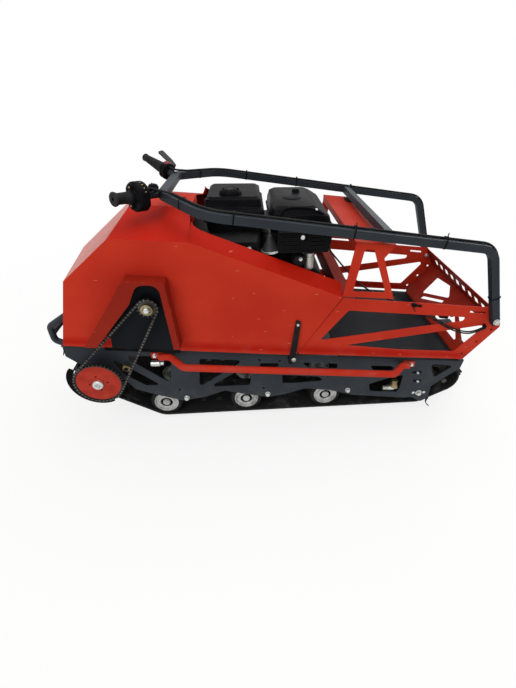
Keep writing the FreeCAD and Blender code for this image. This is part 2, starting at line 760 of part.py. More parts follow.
def fuel_tank():
    """Black tank with a seam flange round its middle."""
    base = ENGINE_TOP + SEAT
    left, right = TANK_Y
    outline = [(TANK_FRONT, base), (TANK_REAR - 16, base), (TANK_REAR, TANK_TOP - 56)]
    outline += [(TANK_REAR - 2, TANK_TOP - 36), (TANK_REAR - 50, TANK_TOP - 4), (TANK_FRONT + 6, TANK_TOP)]
    tank = slab(outline, left, right, [12, 8, 8, 16, 24, 26])
    front, rear, z = TANK_FRONT - TANK_SEAM, TANK_REAR + TANK_SEAM, TANK_TOP - 62
    edge = [(front, z), (rear, z - 3), (rear, z + 3), (front, z + 6)]
    seam = slab(edge, left - TANK_SEAM, right + TANK_SEAM, 2)
    return tank.fuse(seam)


def air_cleaner():
    """Black cover at the front of the engine with a round knob on top."""
    front, rear, top = CLEANER_FRONT, CLEANER_REAR, CLEANER_TOP
    outline = [(front, ENGINE_TOP + 6), (rear, ENGINE_TOP + SEAT), (rear - 6, top - 34)]
    outline += [(rear - 24, top - 8), (front + 16, top), (front + 4, top - 20)]
    body = slab(outline, CLEANER_Y[0], CLEANER_Y[1], [10, 8, 12, 20, 16, 12])
    knob = Part.makeCylinder(KNOB_R, 20, V(KNOB_AT[0], KNOB_AT[1], top - 12))
    return body.fuse(knob)


def muffler():
    """Round canister under the guard, with the short upright outlet beside it."""
    x, z = CANISTER_AT
    canister = rod_y(x, z, CANISTER_R, CANISTER_LEFT, ENGINE_Y - ENGINE_D / 2 - SEAT)
    outlet = Part.makeCylinder(OUTLET_R, 58, V(OUTLET_AT[0], OUTLET_AT[1], z - 34))
    return canister.fuse(outlet)


def muffler_guard():
    """Louvred black box on the left of the engine, with a recess for one bolt."""
    y0 = GUARD_LEFT
    y1 = ENGINE_Y - ENGINE_D / 2 - SEAT
    x0, x1 = GUARD_X
    z0, z1 = GUARD_Z
    guard = slab([(x0, z0), (x1 - 12, z0), (x1, z1), (x0, z1)], y0, y1, [5, 5, 8, 5])
    cuts = [box(x0 + 70, x0 + 92, y0 - 1, y0 + 6, z1 - 28, z1 - 6)]
    for row in range(4):
        z = z0 + 8 + row * 13
        cuts.append(box(x0 + 10, x0 + 62, y0 - 1, y0 + 5, z, z + 5))
        cuts.append(box(x1 - 70, x1 - 18, y0 - 1, y0 + 5, z, z + 5))
    return guard.cut(joined(cuts))


def recoil_starter():
    """Round starter cover on the right of the engine."""
    y0 = ENGINE_Y + ENGINE_D / 2 + SEAT
    return rod_y(ENGINE_X + 20, 630, 92, y0, y0 + 40).fuse(rod_y(ENGINE_X + 20, 630, 66, y0 + 38, y0 + 58))


# ---- Load tray -------------------------------------------------------------------------
def tray_side(side):
    """Cut side sheet of the load tray, with two long windows and a slim slot at the rear."""
    x0, z0 = HOOD_TAIL
    outline = [
        (x0 + 2, z0 - 5), (TAIL_TOP[0] - 6, TAIL_TOP[1] + 3), (TAIL_KNEE[0] - 9, TAIL_KNEE[1] + 36),
        (TAIL_KNEE[0] + 1, TAIL_KNEE[1]), (TAIL_FOOT[0], TAIL_FOOT[1] - 3),
        (HOOD_HEEL_X + 4, deck_z(HOOD_HEEL_X) + 8),
    ]
    x1, z1 = TAIL_TOP
    upper = [(x0 + 26, z0 - 53), (x1 - 98, z1 - 32), (x1 - 104, z1 - 48), (x0 - 64, z0 - 172)]
    lower = [(x0 + 28, z0 - 198), (x1 - 10, z1 - 66), (x1 - 104, z1 - 182), (x0 + 236, z0 - 229)]
    low = -TRAY_OUT
    slot = [(x1 - 90, z1 - 6), (x1 - 30, z1 - 13), (x1 - 30, z1 - 21), (x1 - 90, z1 - 14)]
    windows = [(upper, [10, 7, 7, 4]), (lower, [2, 10, 12, 0]), (slot, 3)]
    plate = slab(outline, low, low + TRAY_T, [0, 6, 12, 8, 10, 8], windows)
    holes = [rod_y(PIVOT[0], PIVOT[1], PIN_R + PIN_GAP, low - 1, low + TRAY_T + 1)]
    for back, z in ((13, 401), (-27, 350), (-69, 297)):
        holes.append(rod_y(TAIL_TOP[0] + back, z, 5, low - 1, low + TRAY_T + 1))
    plate = plate.cut(joined(holes))
    return plate if side < 0 else mirrored(plate)


def bracket_z(x):
    return BRACKET_TOP_Z - PITCH_SLOPE * (x - BRACKET_FRONT)


def bracket_side(side):
    """Upright A-shaped sheet that carries the bracket top."""
    low = -TRAY_OUT
    x0, z0 = HOOD_TAIL
    under = TRAY_T + SEAT
    outline = [(x0, z0 + 1.5), (x0 + 174, z0 - 14), (x0 + 119, z0 + 133),
               (BRACKET_REAR, bracket_z(BRACKET_REAR) - under), (BRACKET_FRONT, BRACKET_TOP_Z - under)]
    window = [(BRACKET_FRONT + 29, BRACKET_TOP_Z - 24), (BRACKET_FRONT + 58, BRACKET_TOP_Z - 27),
              (x0 + 142, z0 + 11), (x0 + 32, z0 + 19)]
    plate = slab(outline, low, low + TRAY_T, [0, 0, 6, 4, 4], [(window, [8, 8, 5, 5])])
    return plate if side < 0 else mirrored(plate)


def bracket_top():
    """Transverse sheet with a turned-down front edge, where the handlebar lies when folded."""
    inner = TRAY_OUT - TRAY_T - SEAT
    front = BRACKET_FRONT - TRAY_T
    sheet = slab([(front, bracket_z(front) - TRAY_T), (BRACKET_REAR, bracket_z(BRACKET_REAR) - TRAY_T),
                  (BRACKET_REAR, bracket_z(BRACKET_REAR)), (front, bracket_z(front))], -TRAY_OUT, TRAY_OUT)
    return sheet.fuse(box(front, BRACKET_FRONT, -inner, inner, BRACKET_TOP_Z - 26, BRACKET_TOP_Z - 1))


def rest_pads():
    """Rubber pads under the handlebar's cross tube."""
    pads = []
    low = [(x, bracket_z(x) + SEAT) for x in (CROSS_X - 20, CROSS_X + 20)]
    high = [(x, z + PAD_T) for x, z in reversed(low)]
    for side in (-1, 1):
        y = side * 210.0
        pads.append(slab(low + high, y - 20, y + 20))
    return apart(pads)


def cross_beam():
    """Folded sheet between the tray sides, at the rear end of the hood."""
    half = TRAY_OUT - TRAY_T - SEAT
    x0 = HOOD_TAIL[0] + 4
    z0 = HOOD_TAIL[1] - 8
    lip = [(x0, z0), (x0 + 42, z0 - 5), (x0 + 42, z0 - 8)]
    outline = lip + [(x0 + TRAY_T, z0 - 3), (x0 + TRAY_T, z0 - 70), (x0, z0 - 70)]
    return slab(outline, -half, half)


def sloped_sheet(low, high, half):
    """A sheet across the machine through two points of the side view."""
    along = V(high[0] - low[0], 0, high[1] - low[1])
    along.normalize()
    normal = along.cross(V(0, 1, 0)) * TRAY_T
    outline = [low, high, (high[0] + normal.x, high[1] + normal.z), (low[0] + normal.x, low[1] + normal.z)]
    return slab(outline, -half, half)


def tail_cut(corners, corner_r):
    """A window through the slanting lower tail sheet, from (x, y) corners on that sheet."""
    slope = (TAIL_KNEE[1] - TAIL_FOOT[1]) / (TAIL_KNEE[0] - TAIL_FOOT[0])
    through = V(-slope, 0, 1)
    through.normalize()
    points = [V(x, y, TAIL_FOOT[1] + slope * (x - TAIL_FOOT[0])) for x, y in corners]
    deep = TRAY_T * 4
    return Part.Face(rounded([p - through * deep for p in points], corner_r)).extrude(through * (2 * deep))


def tail_plate():
    """Rear wall: an upper strip with plain slots over a slanting lower part with windows."""
    half = TRAY_OUT - TRAY_T - SEAT
    knee = (TAIL_KNEE[0] - 6, TAIL_KNEE[1])
    top = (TAIL_TOP[0] - 6, TAIL_TOP[1])
    foot = (TAIL_FOOT[0] - 9, TAIL_FOOT[1] - 7.5)
    plate = sloped_sheet(knee, top, half).fuse(sloped_sheet(foot, knee, half))
    cuts = []
    x0 = TAIL_FOOT[0]
    right_triangle = [(x0 + 25, 171), (x0 + 80, 168), (x0 + 88, 62), (x0 + 66, 10)]
    right_slot = [(x0 + 11, 152), (x0 + 21, 146), (x0 + 53, 22), (x0 + 46, 20)]
    middle_triangle = [(x0 + 11, 0), (x0 + 50, -86), (x0 + 11, -202)]
    left_window = [(x0 + 55, -104), (x0 + 82, -122), (x0 + 88, -238), (x0 + 24, -238), (x0 + 24, -214)]
    for corners, corner_r in ((right_triangle, 6), (right_slot, 3), (middle_triangle, 5), (left_window, 6)):
        cuts.append(tail_cut(corners, corner_r))
    along = V(top[0] - knee[0], 0, top[1] - knee[1])
    for k in range(9):
        y = (k - 4) * SLOT_PITCH
        start = V(knee[0], 0, knee[1]) + along * 0.34
        end = V(knee[0], 0, knee[1]) + along * 0.66
        corners = [V(start.x, y - SLOT_HALF, start.z), V(start.x, y + SLOT_HALF, start.z),
                   V(end.x, y + SLOT_HALF, end.z), V(end.x, y - SLOT_HALF, end.z)]
        slot = Part.Face(rounded([p - V(12, 0, 6) for p in corners], 3)).extrude(V(24, 0, 12))
        cuts.append(slot)
    return plate.cut(joined(cuts))


def tow_hitch():
    """Drawbar plate with a vertical pin hole under the tail, held by two webs."""
    front = TAIL_FOOT[0] - 53
    plate = box(front, HITCH_REAR, -HITCH_HALF, HITCH_HALF, HITCH_Z, HITCH_Z + HITCH_T)
    hole = Part.makeCylinder(HITCH_HOLE_R, HITCH_T + 4, V(HITCH_REAR - HITCH_HOLE_BACK, 0, HITCH_Z - 2))
    return plate.cut(hole)


def front_bumper():
    """Round tube hoop in front of the toe panel, from the toe down to the deck's front edge."""
    nose = BUMPER_FRONT + BUMPER_R
    y = BUMPER_HALF
    path = [V(nose + 99, -y, 497), V(nose, -y, 432), V(nose, -y, 374), V(nose + 62, -y, 342)]
    leg = bent_bar(path, [22, 22], -BUMPER_R, V(0, 1, 0))
    bar = rod_y(nose, 403, BUMPER_R - 0.5, -y, y)
    hoop = joined([leg, bar, mirrored(leg)])
    z0 = HOOD_TOE[1]
    z1 = HOOD_FRONT[1]
    for side in (-1, 1):
        half = side * (HOOD_OUT - 1)
        toe = [toe_point(half, z0 - 20), toe_point(0, z0 - 20), toe_point(0, z1), toe_point(half, z1)]
        hoop = hoop.cut(thick_facet(toe, 90))
    return hoop.cut(box(PLATE_FRONT + 4 - SEAT, PLATE_FRONT + 90, -HOOD_OUT, HOOD_OUT, 300, 384))


# ---- Handlebar -------------------------------------------------------------------------
def run_z(x):
    """Height of the folded handlebar's long runs."""
    return CORNER[1] - RUN_SLOPE * (x - CORNER[0])


def handlebar_loop():
    """One bent square tube: a post and a run on each side, joined by the front bar."""
    foot = V(PIVOT[0], -BAR_Y, PIVOT[1])
    corner = V(CORNER[0], -BAR_Y, CORNER[1])
    down = foot - corner
    down.normalize()
    bend = V(BEND_X, -BAR_Y, run_z(BEND_X))
    front = V(FRONT_X, -FRONT_HALF, run_z(FRONT_X))
    left = [foot + down * 14, corner, bend, front]
    right = [V(p.x, -p.y, p.z) for p in reversed(left)]
    bends = [CORNER_R, BEND_R, FRONT_R, FRONT_R, BEND_R, CORNER_R]
    loop = bent_bar(left + right, bends, BAR / 2, V(0, 1, 0))
    holes = []
    for side in (-1, 1):
        y = side * BAR_Y
        holes.append(rod_y(PIVOT[0], PIVOT[1], PIN_R + PIN_GAP, y - BAR, y + BAR))
    return loop.cut(joined(holes))


def handlebar_cross():
    half = BAR_Y - BAR / 2 - 0.1
    z = run_z(CROSS_X)
    tube = box(CROSS_X - BAR / 2, CROSS_X + BAR / 2, -half, half, z - BAR / 2, z + BAR / 2)
    tube.rotate(V(CROSS_X, 0, z), V(0, 1, 0), math.degrees(math.atan(RUN_SLOPE)))
    return tube


def grip_line(start, end, radius, side):
    """A round bar along one grip, from start to end of its reach."""
    root, along, _ = grip_frame(side)
    return Part.makeCylinder(radius, end - start, root + along * start, along)


def grip_tubes(loop):
    """Round tubes that leave the front bar, one for each hand."""
    return apart([grip_line(0, GRIP_LENGTH[side] - 8, GRIP_TUBE_R, side).cut(loop) for side in (-1, 1)])


def grips():
    """Rubber sleeves with a collar at the end."""
    solids = []
    for side in (-1, 1):
        start = HOUSING_AT[side] + HOUSING_W + 1
        end = GRIP_LENGTH[side]
        sleeve = grip_line(start, end, GRIP_R, side)
        collar = grip_line(end - 7, end, GRIP_FLANGE_R, side)
        bore = grip_line(start - 1, end - 8 + 0.3, GRIP_TUBE_R + 0.1, side)
        solids.append(sleeve.fuse(collar).cut(bore))
    return apart(solids)


def control_housings():
    """Round throttle box on the left grip and round brake clamp on the right grip."""
    solids = []
    for side in (-1, 1):
        start = HOUSING_AT[side]
        shell = grip_line(start, start + HOUSING_W, HOUSING_R * (1.0 if side < 0 else 0.62), side)
        solids.append(shell.cut(grip_line(start - 1, start + HOUSING_W + 1, GRIP_TUBE_R + 0.1, side)))
    return apart(solids)


def brake_lever():
    """Flat blade beyond the right grip, which rises from its clamp."""
    root, along, up = grip_frame(1)
    beyond = along.cross(up)
    start = HOUSING_AT[1] + 8
    edge = [(0, 27), (30, 24), (96, 28), (102, 52), (34, 46), (0, 38)]
    corners = []
    for forward, out in edge:
        reach = start + forward
        corners.append(root + along * reach + beyond * out + up * (0.16 * reach + 5))
    return Part.Face(rounded(corners, [3, 8, 4, 6, 10, 5])).extrude(up * 6)


def kill_switch():
    """Stop button that stands on the left grip's tube."""
    root, along, up = grip_frame(-1)
    ahead = along.cross(up)
    return Part.makeCylinder(13, 17, root + along * 31 + ahead * 6 + up * (GRIP_TUBE_R + 0.4), up)


def grip_frame(side):
    """Root point of one grip, with its direction and the direction square to it upwards."""
    root = V(FRONT_X, side * GRIP_ROOT_Y, run_z(FRONT_X))
    along = V(-1, side * GRIP_SPREAD[side], GRIP_RISE[side])
    along.normalize()
    up = V(0, 0, 1) - along * along.z
    up.normalize()
    return root, along, up


def run_cable(side):
    """Control cable from one housing along the top of the run and down the back of the post."""
    root, along, up = grip_frame(side)
    lift = BAR / 2 + CORD_R + 0.3
    over = V(RUN_SLOPE, 0, 1)
    over.normalize()
    down = V(PIVOT[0] - CORNER[0], 0, PIVOT[1] - CORNER[1])
    down.normalize()
    behind = V(-down.z, 0, down.x)
    y = side * (BAR_Y - 6)
    corner = V(CORNER[0], y, CORNER[1]) + (over + behind) * (lift / (1 + over.dot(behind)))
    start = HOUSING_AT[side]
    rise = 20.0
    points = [
        root + along * start + up * rise,
        root + along * (start - 26) + up * rise,
        V(-322, side * 172, run_z(-322)) + over * lift,
        V(BEND_X + 3, y, run_z(BEND_X + 3)) + over * lift,
        corner,
        V(PIVOT[0], y, PIVOT[1]) - down * 60 + behind * lift,
    ]
    bends = [16, 60, BEND_R - 6, CORNER_R + lift]
    return bent_bar(points, bends, -CORD_R, V(0, 0, 1))


def run_cables():
    return apart([run_cable(-1), run_cable(1)])


def tail_route(drop):
    """Points of one lead from inside the tray, out through the upper window, to the post's foot."""
    x0 = TAIL_TOP[0]
    inside = 15.0 - TRAY_OUT
    outside = -TRAY_OUT - 10.0
    route = [(-290, inside, 486), (-252, inside, 474), (-214, inside - 3, 458), (-178, outside + 3, 439),
             (-142, outside, 420), (-108, outside, 407), (-76, outside, 402), (-50, outside, 408),
             (-26, outside, 421)]
    return [V(x0 + x, y, z - drop) for x, y, z in route]


def tail_cables():
    """Pair of leads that sag outside the left tray side below the pivot."""
    return apart([cord("tail lead %d" % (k + 1), tail_route(k * LEAD_DROP), LEAD_R) for k in range(2)])


def control_cable():
    """Cable from the engine's rear left corner down to the leads' block inside the tray."""
    end = tail_route(0)[0] - V(CABLE_STOP, 0, 0)
    places = [(0, 70, 220), (0.009, 66, 200), (0.107, 58, 168), (0.213, 51, 135), (0.329, 38, 101),
              (0.459, 26, 75), (0.568, 14, 59), (0.715, 5, 44), (0.866, 2, 28), (1, 3, 6)]
    route = []
    for share, inwards, above in places:
        route.append(V(CABLE_FROM + share * (end.x - CABLE_FROM), end.y + inwards, end.z + above))
    return cord("control cable", route, CABLE_R)


def cable_glands():
    """Block inside the tray side that the leads come out of, and a clip below the pivot."""
    blocks = []
    for last, before in ((0, 1), (-1, -2)):
        sleeves = []
        for k in range(2):
            route = tail_route(k * LEAD_DROP)
            along = route[last] - route[before]
            along.normalize()
            sleeves.append(Part.makeCylinder(LEAD_R + 0.5, 8, route[last] + along * SEAT, along))
        middle = sleeves[0].CenterOfMass
        near = -TRAY_OUT - SEAT if middle.y < -TRAY_OUT else TRAY_T - TRAY_OUT + SEAT
        low, high = min(near, middle.y), max(near, middle.y)
        sleeves.append(box(middle.x - 2, middle.x + 2, low, high, middle.z - LEAD_DROP, middle.z + 5))
        blocks.append(joined(sleeves))
    return apart(blocks)


def pivot_bolts():
    """Bolts through the posts, with a head outside and a nut inside the tray side."""
    solids = []
    for side in (-1, 1):
        inner = side * (TRAY_OUT - TRAY_T - 8)
        outer = side * (BAR_Y + BAR / 2 + 2)
        shank = rod_y(PIVOT[0], PIVOT[1], PIN_R, min(inner, outer), max(inner, outer))
        head_low = outer if side > 0 else outer - 7
        head = rod_y(PIVOT[0], PIVOT[1], 11, head_low, head_low + 7)
        nut_low = inner - 3 if side > 0 else inner - 2
        nut = rod_y(PIVOT[0], PIVOT[1], 10, nut_low, nut_low + 5)
        solids.append(joined([shank, head, nut]))
    return apart(solids)


# ---- Write every node ------------------------------------------------------------------
save("track", track())
for number, roller_x in enumerate(ROLLER_X, 1):
    save("rollers_%d" % number, roller_set(roller_x))
for name, side in (("left", -1), ("right", 1)):
    save("roller_arms_" + name, roller_arms(side))
    save("side_plate_" + name, side_plate(side))
    save("side_rail_" + name, side_rail(side))
    save("hood_side_" + name, hood_side(side))
    save("tray_side_" + name, tray_side(side))
    save("bracket_" + name, bracket_side(side))
save("rear_idler", rear_idler())
save("drive_axle", drive_axle())
save("deck_plate", deck_plate())
save("tray_floor", tray_floor())
save("hood_front", hood_front())
save("hood_top", hood_top())
save("chain_cover", chain_cover())
save("chain_cover_back", chain_cover_back())
save("hood_latches", hood_latches())
save("driven_sprocket", driven_sprocket())
save("output_sprocket", output_sprocket())
save("drive_chain", drive_chain())
save("engine_block", engine_block())
save("gearbox", gearbox())
save("engine_mount", engine_mount())
save("fuel_tank", fuel_tank())
save("air_cleaner", air_cleaner())
save("muffler", muffler())
save("muffler_guard", muffler_guard())
save("recoil_starter", recoil_starter())
save("bracket_top", bracket_top())
save("rest_pads", rest_pads())
save("cross_beam", cross_beam())
save("tail_plate", tail_plate())
save("tow_hitch", tow_hitch())
save("front_bumper", front_bumper())
handlebar = handlebar_loop()
save("handlebar_loop", handlebar)
save("handlebar_cross", handlebar_cross())
save("grip_tubes", grip_tubes(handlebar))
save("grips", grips())
save("control_housings", control_housings())
save("brake_lever", brake_lever())
save("kill_switch", kill_switch())
save("pivot_bolts", pivot_bolts())
save("run_cables", run_cables())
save("tail_cables", tail_cables())
save("control_cable", control_cable())
save("cable_glands", cable_glands())
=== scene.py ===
"""Looks of the tracked snow towing vehicle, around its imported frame.

The ground is z = 0, the front is -X, the left side is -Y and +Z is up. Pieces are moulded in
millimetres and scaled to metres in Mould.piece. Materials, lamps and the camera are in metres.
"""
import math

import bmesh
import bpy
from mathutils import Matrix, Vector


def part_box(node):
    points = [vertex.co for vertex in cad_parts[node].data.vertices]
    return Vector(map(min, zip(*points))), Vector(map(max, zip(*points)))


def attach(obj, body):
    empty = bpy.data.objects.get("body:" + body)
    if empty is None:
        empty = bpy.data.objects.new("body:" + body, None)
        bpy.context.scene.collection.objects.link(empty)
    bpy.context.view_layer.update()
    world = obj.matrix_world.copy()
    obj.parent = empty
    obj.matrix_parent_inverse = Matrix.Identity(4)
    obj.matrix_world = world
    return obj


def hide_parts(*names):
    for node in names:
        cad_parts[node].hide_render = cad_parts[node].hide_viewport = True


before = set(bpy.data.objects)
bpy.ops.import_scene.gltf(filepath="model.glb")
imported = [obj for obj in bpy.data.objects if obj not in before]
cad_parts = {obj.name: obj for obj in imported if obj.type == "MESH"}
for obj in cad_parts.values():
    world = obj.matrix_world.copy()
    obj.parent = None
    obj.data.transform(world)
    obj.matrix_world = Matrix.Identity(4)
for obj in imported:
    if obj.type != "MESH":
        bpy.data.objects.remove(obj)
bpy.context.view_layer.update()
MM = 0.001
X = Vector((1, 0, 0))
Y = Vector((0, 1, 0))
Z = Vector((0, 0, 1))
SIDES = (-1, 1)


# ---- Shader kit ------------------------------------------------------------------------
class Wire:
    """A shader socket in an expression: arithmetic on it adds Math nodes."""

    def __init__(self, shading, socket):
        self.shading = shading
        self.socket = socket

    def math(self, operation, *values):
        sockets = dict(enumerate(values))
        return self.shading.node("ShaderNodeMath", {"operation": operation}, sockets)["Value"]

    def __add__(self, other):
        return self.math("ADD", self, other)

    def __rsub__(self, other):
        return self.math("SUBTRACT", other, self)

    def __mul__(self, other):
        return self.math("MULTIPLY", self, other)

    __radd__ = __add__
    __rmul__ = __mul__

    def step(self, low, high):
        """Rises smoothly from 0 at low to 1 at high."""
        settings = {"interpolation_type": "SMOOTHSTEP"}
        sockets = {"Value": self, "From Min": low, "From Max": high}
        return self.shading.node("ShaderNodeMapRange", settings, sockets)["Result"]


class Made:
    """A node whose outputs are read by name as wires."""

    def __init__(self, shading, node):
        self.shading = shading
        self.node = node

    def __getitem__(self, name):
        return Wire(self.shading, self.node.outputs[name])


class Shading:
    """A node tree, and the one method that adds a node to it."""

    def __init__(self, tree):
        self.tree = tree

    def connect(self, socket, value):
        """Links a wire to a socket, or sets a number, a vector or a colour on it."""
        if isinstance(value, Wire):
            self.tree.links.new(value.socket, socket)
        else:
            socket.default_value = (*value, 1.0) if socket.type == "RGBA" else value

    def node(self, kind, settings=None, sockets=None):
        """Adds a node with its settings, and then with the values or wires of its sockets."""
        made = self.tree.nodes.new(kind)
        for key, value in (settings or {}).items():
            setattr(made, key, value)
        for key, value in (sockets or {}).items():
            self.connect(made.inputs[key], value)
        return Made(self, made)

    def backdrop_rays(self):
        """One for the rays that show the backdrop itself: straight, in a mirror or through glass."""
        path = self.node("ShaderNodeLightPath")
        seen = path["Is Camera Ray"]
        for name in ("Is Glossy Ray", "Is Transmission Ray"):
            seen = seen.math("MAXIMUM", seen, path[name])
        return seen


class Finish(Shading):
    """A material, and the patterns that its shader is fed with."""

    def __init__(self, name):
        self.material = bpy.data.materials.new(name)
        self.material.use_nodes = True
        super().__init__(self.material.node_tree)
        self.shader = self.tree.nodes["Principled BSDF"]
        self.place = self.node("ShaderNodeTexCoord")["Object"]

    def noise(self, scale, detail=3.0, roughness=0.5):
        sockets = {"Vector": self.place, "Scale": scale, "Detail": detail, "Roughness": roughness}
        return self.node("ShaderNodeTexNoise", {}, sockets)["Fac"]

    def mix_color(self, factor, first, second):
        """A colour between two colours."""
        return self.node("ShaderNodeMix", {"data_type": "RGBA"}, {0: factor, 6: first, 7: second})[2]

    def vector(self, operation, first, second):
        return self.node("ShaderNodeVectorMath", {"operation": operation}, {0: first, 1: second})

    def length(self, vector):
        return self.vector("LENGTH", vector, (0, 0, 0))["Value"]

    def part(self, axis):
        """One coordinate of the place on the machine."""
        return self.node("ShaderNodeSeparateXYZ", {}, {"Vector": self.place})[axis]

    def normal(self):
        return self.node("ShaderNodeNewGeometry")["Normal"]

    def edges(self, radius):
        """One along sharp edges and nought on flat faces."""
        rounded = self.node("ShaderNodeBevel", {"samples": 4}, {"Radius": radius})["Normal"]
        return 1 - self.vector("DOT_PRODUCT", rounded, self.normal())["Value"]

    def dashes(self, spacing, length, height, share):
        """Short level scuffs scattered one to a cell, in a share of the cells."""
        cell = self.node("ShaderNodeTexVoronoi", {}, {"Vector": self.place, "Scale": 1 / spacing})
        away = self.vector("SUBTRACT", self.place, cell["Position"])["Vector"]
        shape = self.vector("MULTIPLY", away, (1 / length, 0.0, 1 / height))["Vector"]
        distance = self.length(shape)
        chance = self.node("ShaderNodeSeparateColor", {}, {"Color": cell["Color"]})["Red"]
        return (1 - distance.step(0.6, 1.0)) * (1 - chance.step(share, share + 0.02))

    def relief(self, height, strength, distance):
        """Feeds the shader's normal with a bump."""
        sockets = {"Height": height, "Strength": strength, "Distance": distance}
        self.connect(self.shader.inputs["Normal"], self.node("ShaderNodeBump", {}, sockets)["Normal"])

    def give(self, **values):
        """Sets the shader's sockets, named with _ for spaces, from numbers, colours or wires."""
        for key, value in values.items():
            self.connect(self.shader.inputs[key.replace("_", " ")], value)
        return self.material


# ---- Finishes --------------------------------------------------------------------------
RED = (0.480, 0.030, 0.012)
RED_DEEP = (0.420, 0.022, 0.009)
# painted shade: the next colour is laid on flanges that face up and on the bend above the hood's foot
RED_FLANGE_SHADE = (0.385, 0.008, 0.001)
RED_PALE = (0.560, 0.150, 0.100)
RED_RUBBED = (0.60, 0.17, 0.11)
GRAPHITE = (0.020, 0.027, 0.035)
GRAPHITE_DARK = (0.015, 0.020, 0.027)
GRAPHITE_RUBBED = (0.16, 0.17, 0.18)
DUST = (0.30, 0.27, 0.24)
GREY_DUST = (0.16, 0.16, 0.15)
HOOD_FOOT_SLOPE = 0.0969
EDGE = 0.0012


def shaded(color, share):
    """The same colour at a share of its brightness."""
    return tuple(value * share for value in color)


def red_powder_coat(name, share=1.0, shade_flanges=False):
    """Satin red coat with a faint orange peel, light scuffs and rubbed edges, made darker as painted shade
    by a share below one.

    On a sheet with flanges, painted shade makes it deeper red where it faces up and along the bend above its
    foot.
    """
    f = Finish(name)
    cloud = f.noise(4.0, 4.0)
    # a share below one darkens both reds of the coat: painted shade
    color = f.mix_color(cloud.step(0.35, 0.68), shaded(RED, share), shaded(RED_DEEP, share))
    # painted shade: faces turned up and the band above the hood's foot are painted deeper red for how light
    # falls on them
    if shade_flanges:
        lift = f.node("ShaderNodeSeparateXYZ", {}, {"Vector": f.normal()})["Z"]
        color = f.mix_color(lift.step(0.25, 0.55), color, RED_FLANGE_SHADE)
        height = f.part("Z") + f.part("X") * HOOD_FOOT_SLOPE
        fold_shade = height.step(0.334, 0.350) * (1 - height.step(0.352, 0.384))
        color = f.mix_color(fold_shade, color, RED_FLANGE_SHADE)
    scuffs = f.dashes(0.085, 0.0075, 0.0016, 0.42) * f.noise(160.0).step(0.35, 0.55)
    color = f.mix_color(scuffs * 0.85, color, RED_PALE)
    worn = f.edges(EDGE).step(0.03, 0.16) * f.noise(55.0).step(0.50, 0.68)
    color = f.mix_color(worn * 0.55, color, RED_RUBBED)
    low = (1 - f.part("Z").step(0.26, 0.46)) * f.noise(14.0, 5.0).step(0.42, 0.75)
    color = f.mix_color(low * 0.10, color, DUST)
    f.relief(f.noise(900.0, 2.0) + f.noise(24.0) * 0.6, 0.10, 0.0004)
    return f.give(Base_Color=color, Roughness=0.48 + 0.14 * cloud + 0.2 * low, Specular_IOR_Level=0.08)


def red_grit_coat():
    """Coarse red coat of the nose, with a raised grit whose grains are paled by a painted highlight of
    grazing light.
    """
    f = Finish("red_grit_coat")
    grain = f.noise(420.0, 3.0, 0.7)
    blotch = f.noise(60.0, 3.0)
    # painted highlight: the pale grains stand for light grazing the grit
    color = f.mix_color(grain.step(0.46, 0.70), (0.40, 0.035, 0.022), (0.62, 0.24, 0.20))
    color = f.mix_color(blotch.step(0.35, 0.75) * 0.4, color, (0.42, 0.060, 0.040))
    f.relief(grain, 0.65, 0.0016)
    return f.give(Base_Color=color, Roughness=0.72, Sheen_Weight=0.55, Sheen_Roughness=0.30,
                  Specular_IOR_Level=0.3)


def graphite_coat(name, share=1.0):
    """Dark blue-grey coat with fine grit, dust low down and rubbed edges; a share below one darkens it and
    dulls its gloss as painted shade.
    """
    f = Finish(name)
    cloud = f.noise(7.0, 4.0)
    # a share below one darkens both greys of the coat: painted shade
    color = f.mix_color(cloud.step(0.3, 0.7), shaded(GRAPHITE, share), shaded(GRAPHITE_DARK, share))
    worn = f.edges(EDGE).step(0.03, 0.16) * f.noise(48.0).step(0.46, 0.66)
    color = f.mix_color(worn * 0.5, color, GRAPHITE_RUBBED)
    low = (1 - f.part("Z").step(0.06, 0.30)) * f.noise(18.0, 5.0).step(0.45, 0.8)
    color = f.mix_color(low * 0.22, color, GREY_DUST)
    f.relief(f.noise(1300.0, 2.0), 0.12, 0.0003)
    return f.give(Base_Color=color, Roughness=0.44 + 0.12 * cloud + 0.25 * low,
                  Specular_IOR_Level=0.22 * share)


def track_rubber():
    """Black moulded rubber with a dried grey bloom in its hollows."""
    f = Finish("track_rubber")
    bloom = f.noise(16.0, 6.0, 0.65).step(0.50, 0.72)
    color = f.mix_color(bloom * 0.55, (0.012, 0.012, 0.012), (0.10, 0.10, 0.10))
    f.relief(f.noise(380.0, 4.0) + f.noise(60.0) * 0.8, 0.35, 0.0008)
    return f.give(Base_Color=color, Roughness=0.72 + 0.16 * bloom, Specular_IOR_Level=0.2)


def soft_rubber():
    """Clean black rubber of grips, tyres, straps and pads."""
    f = Finish("soft_rubber")
    cloud = f.noise(40.0)
    color = f.mix_color(cloud.step(0.4, 0.7), (0.008, 0.008, 0.009), (0.016, 0.016, 0.017))
    f.relief(f.noise(700.0, 2.0), 0.2, 0.0004)
    return f.give(Base_Color=color, Roughness=0.58 + 0.1 * cloud, Specular_IOR_Level=0.12)


def black_plastic():
    """Moulded black plastic with a fine grain, and a painted highlight along its edges."""
    f = Finish("black_plastic")
    cloud = f.noise(22.0, 4.0)
    color = f.mix_color(cloud.step(0.4, 0.75), (0.004, 0.004, 0.005), (0.007, 0.007, 0.008))
    # painted highlight: all edges are lightened where light would catch them
    color = f.mix_color(f.edges(0.0014).step(0.04, 0.25) * 0.8, color, (0.07, 0.07, 0.07))
    f.relief(f.noise(1100.0, 2.0), 0.14, 0.0003)
    return f.give(Base_Color=color, Roughness=0.34 + 0.14 * cloud, Specular_IOR_Level=0.022)


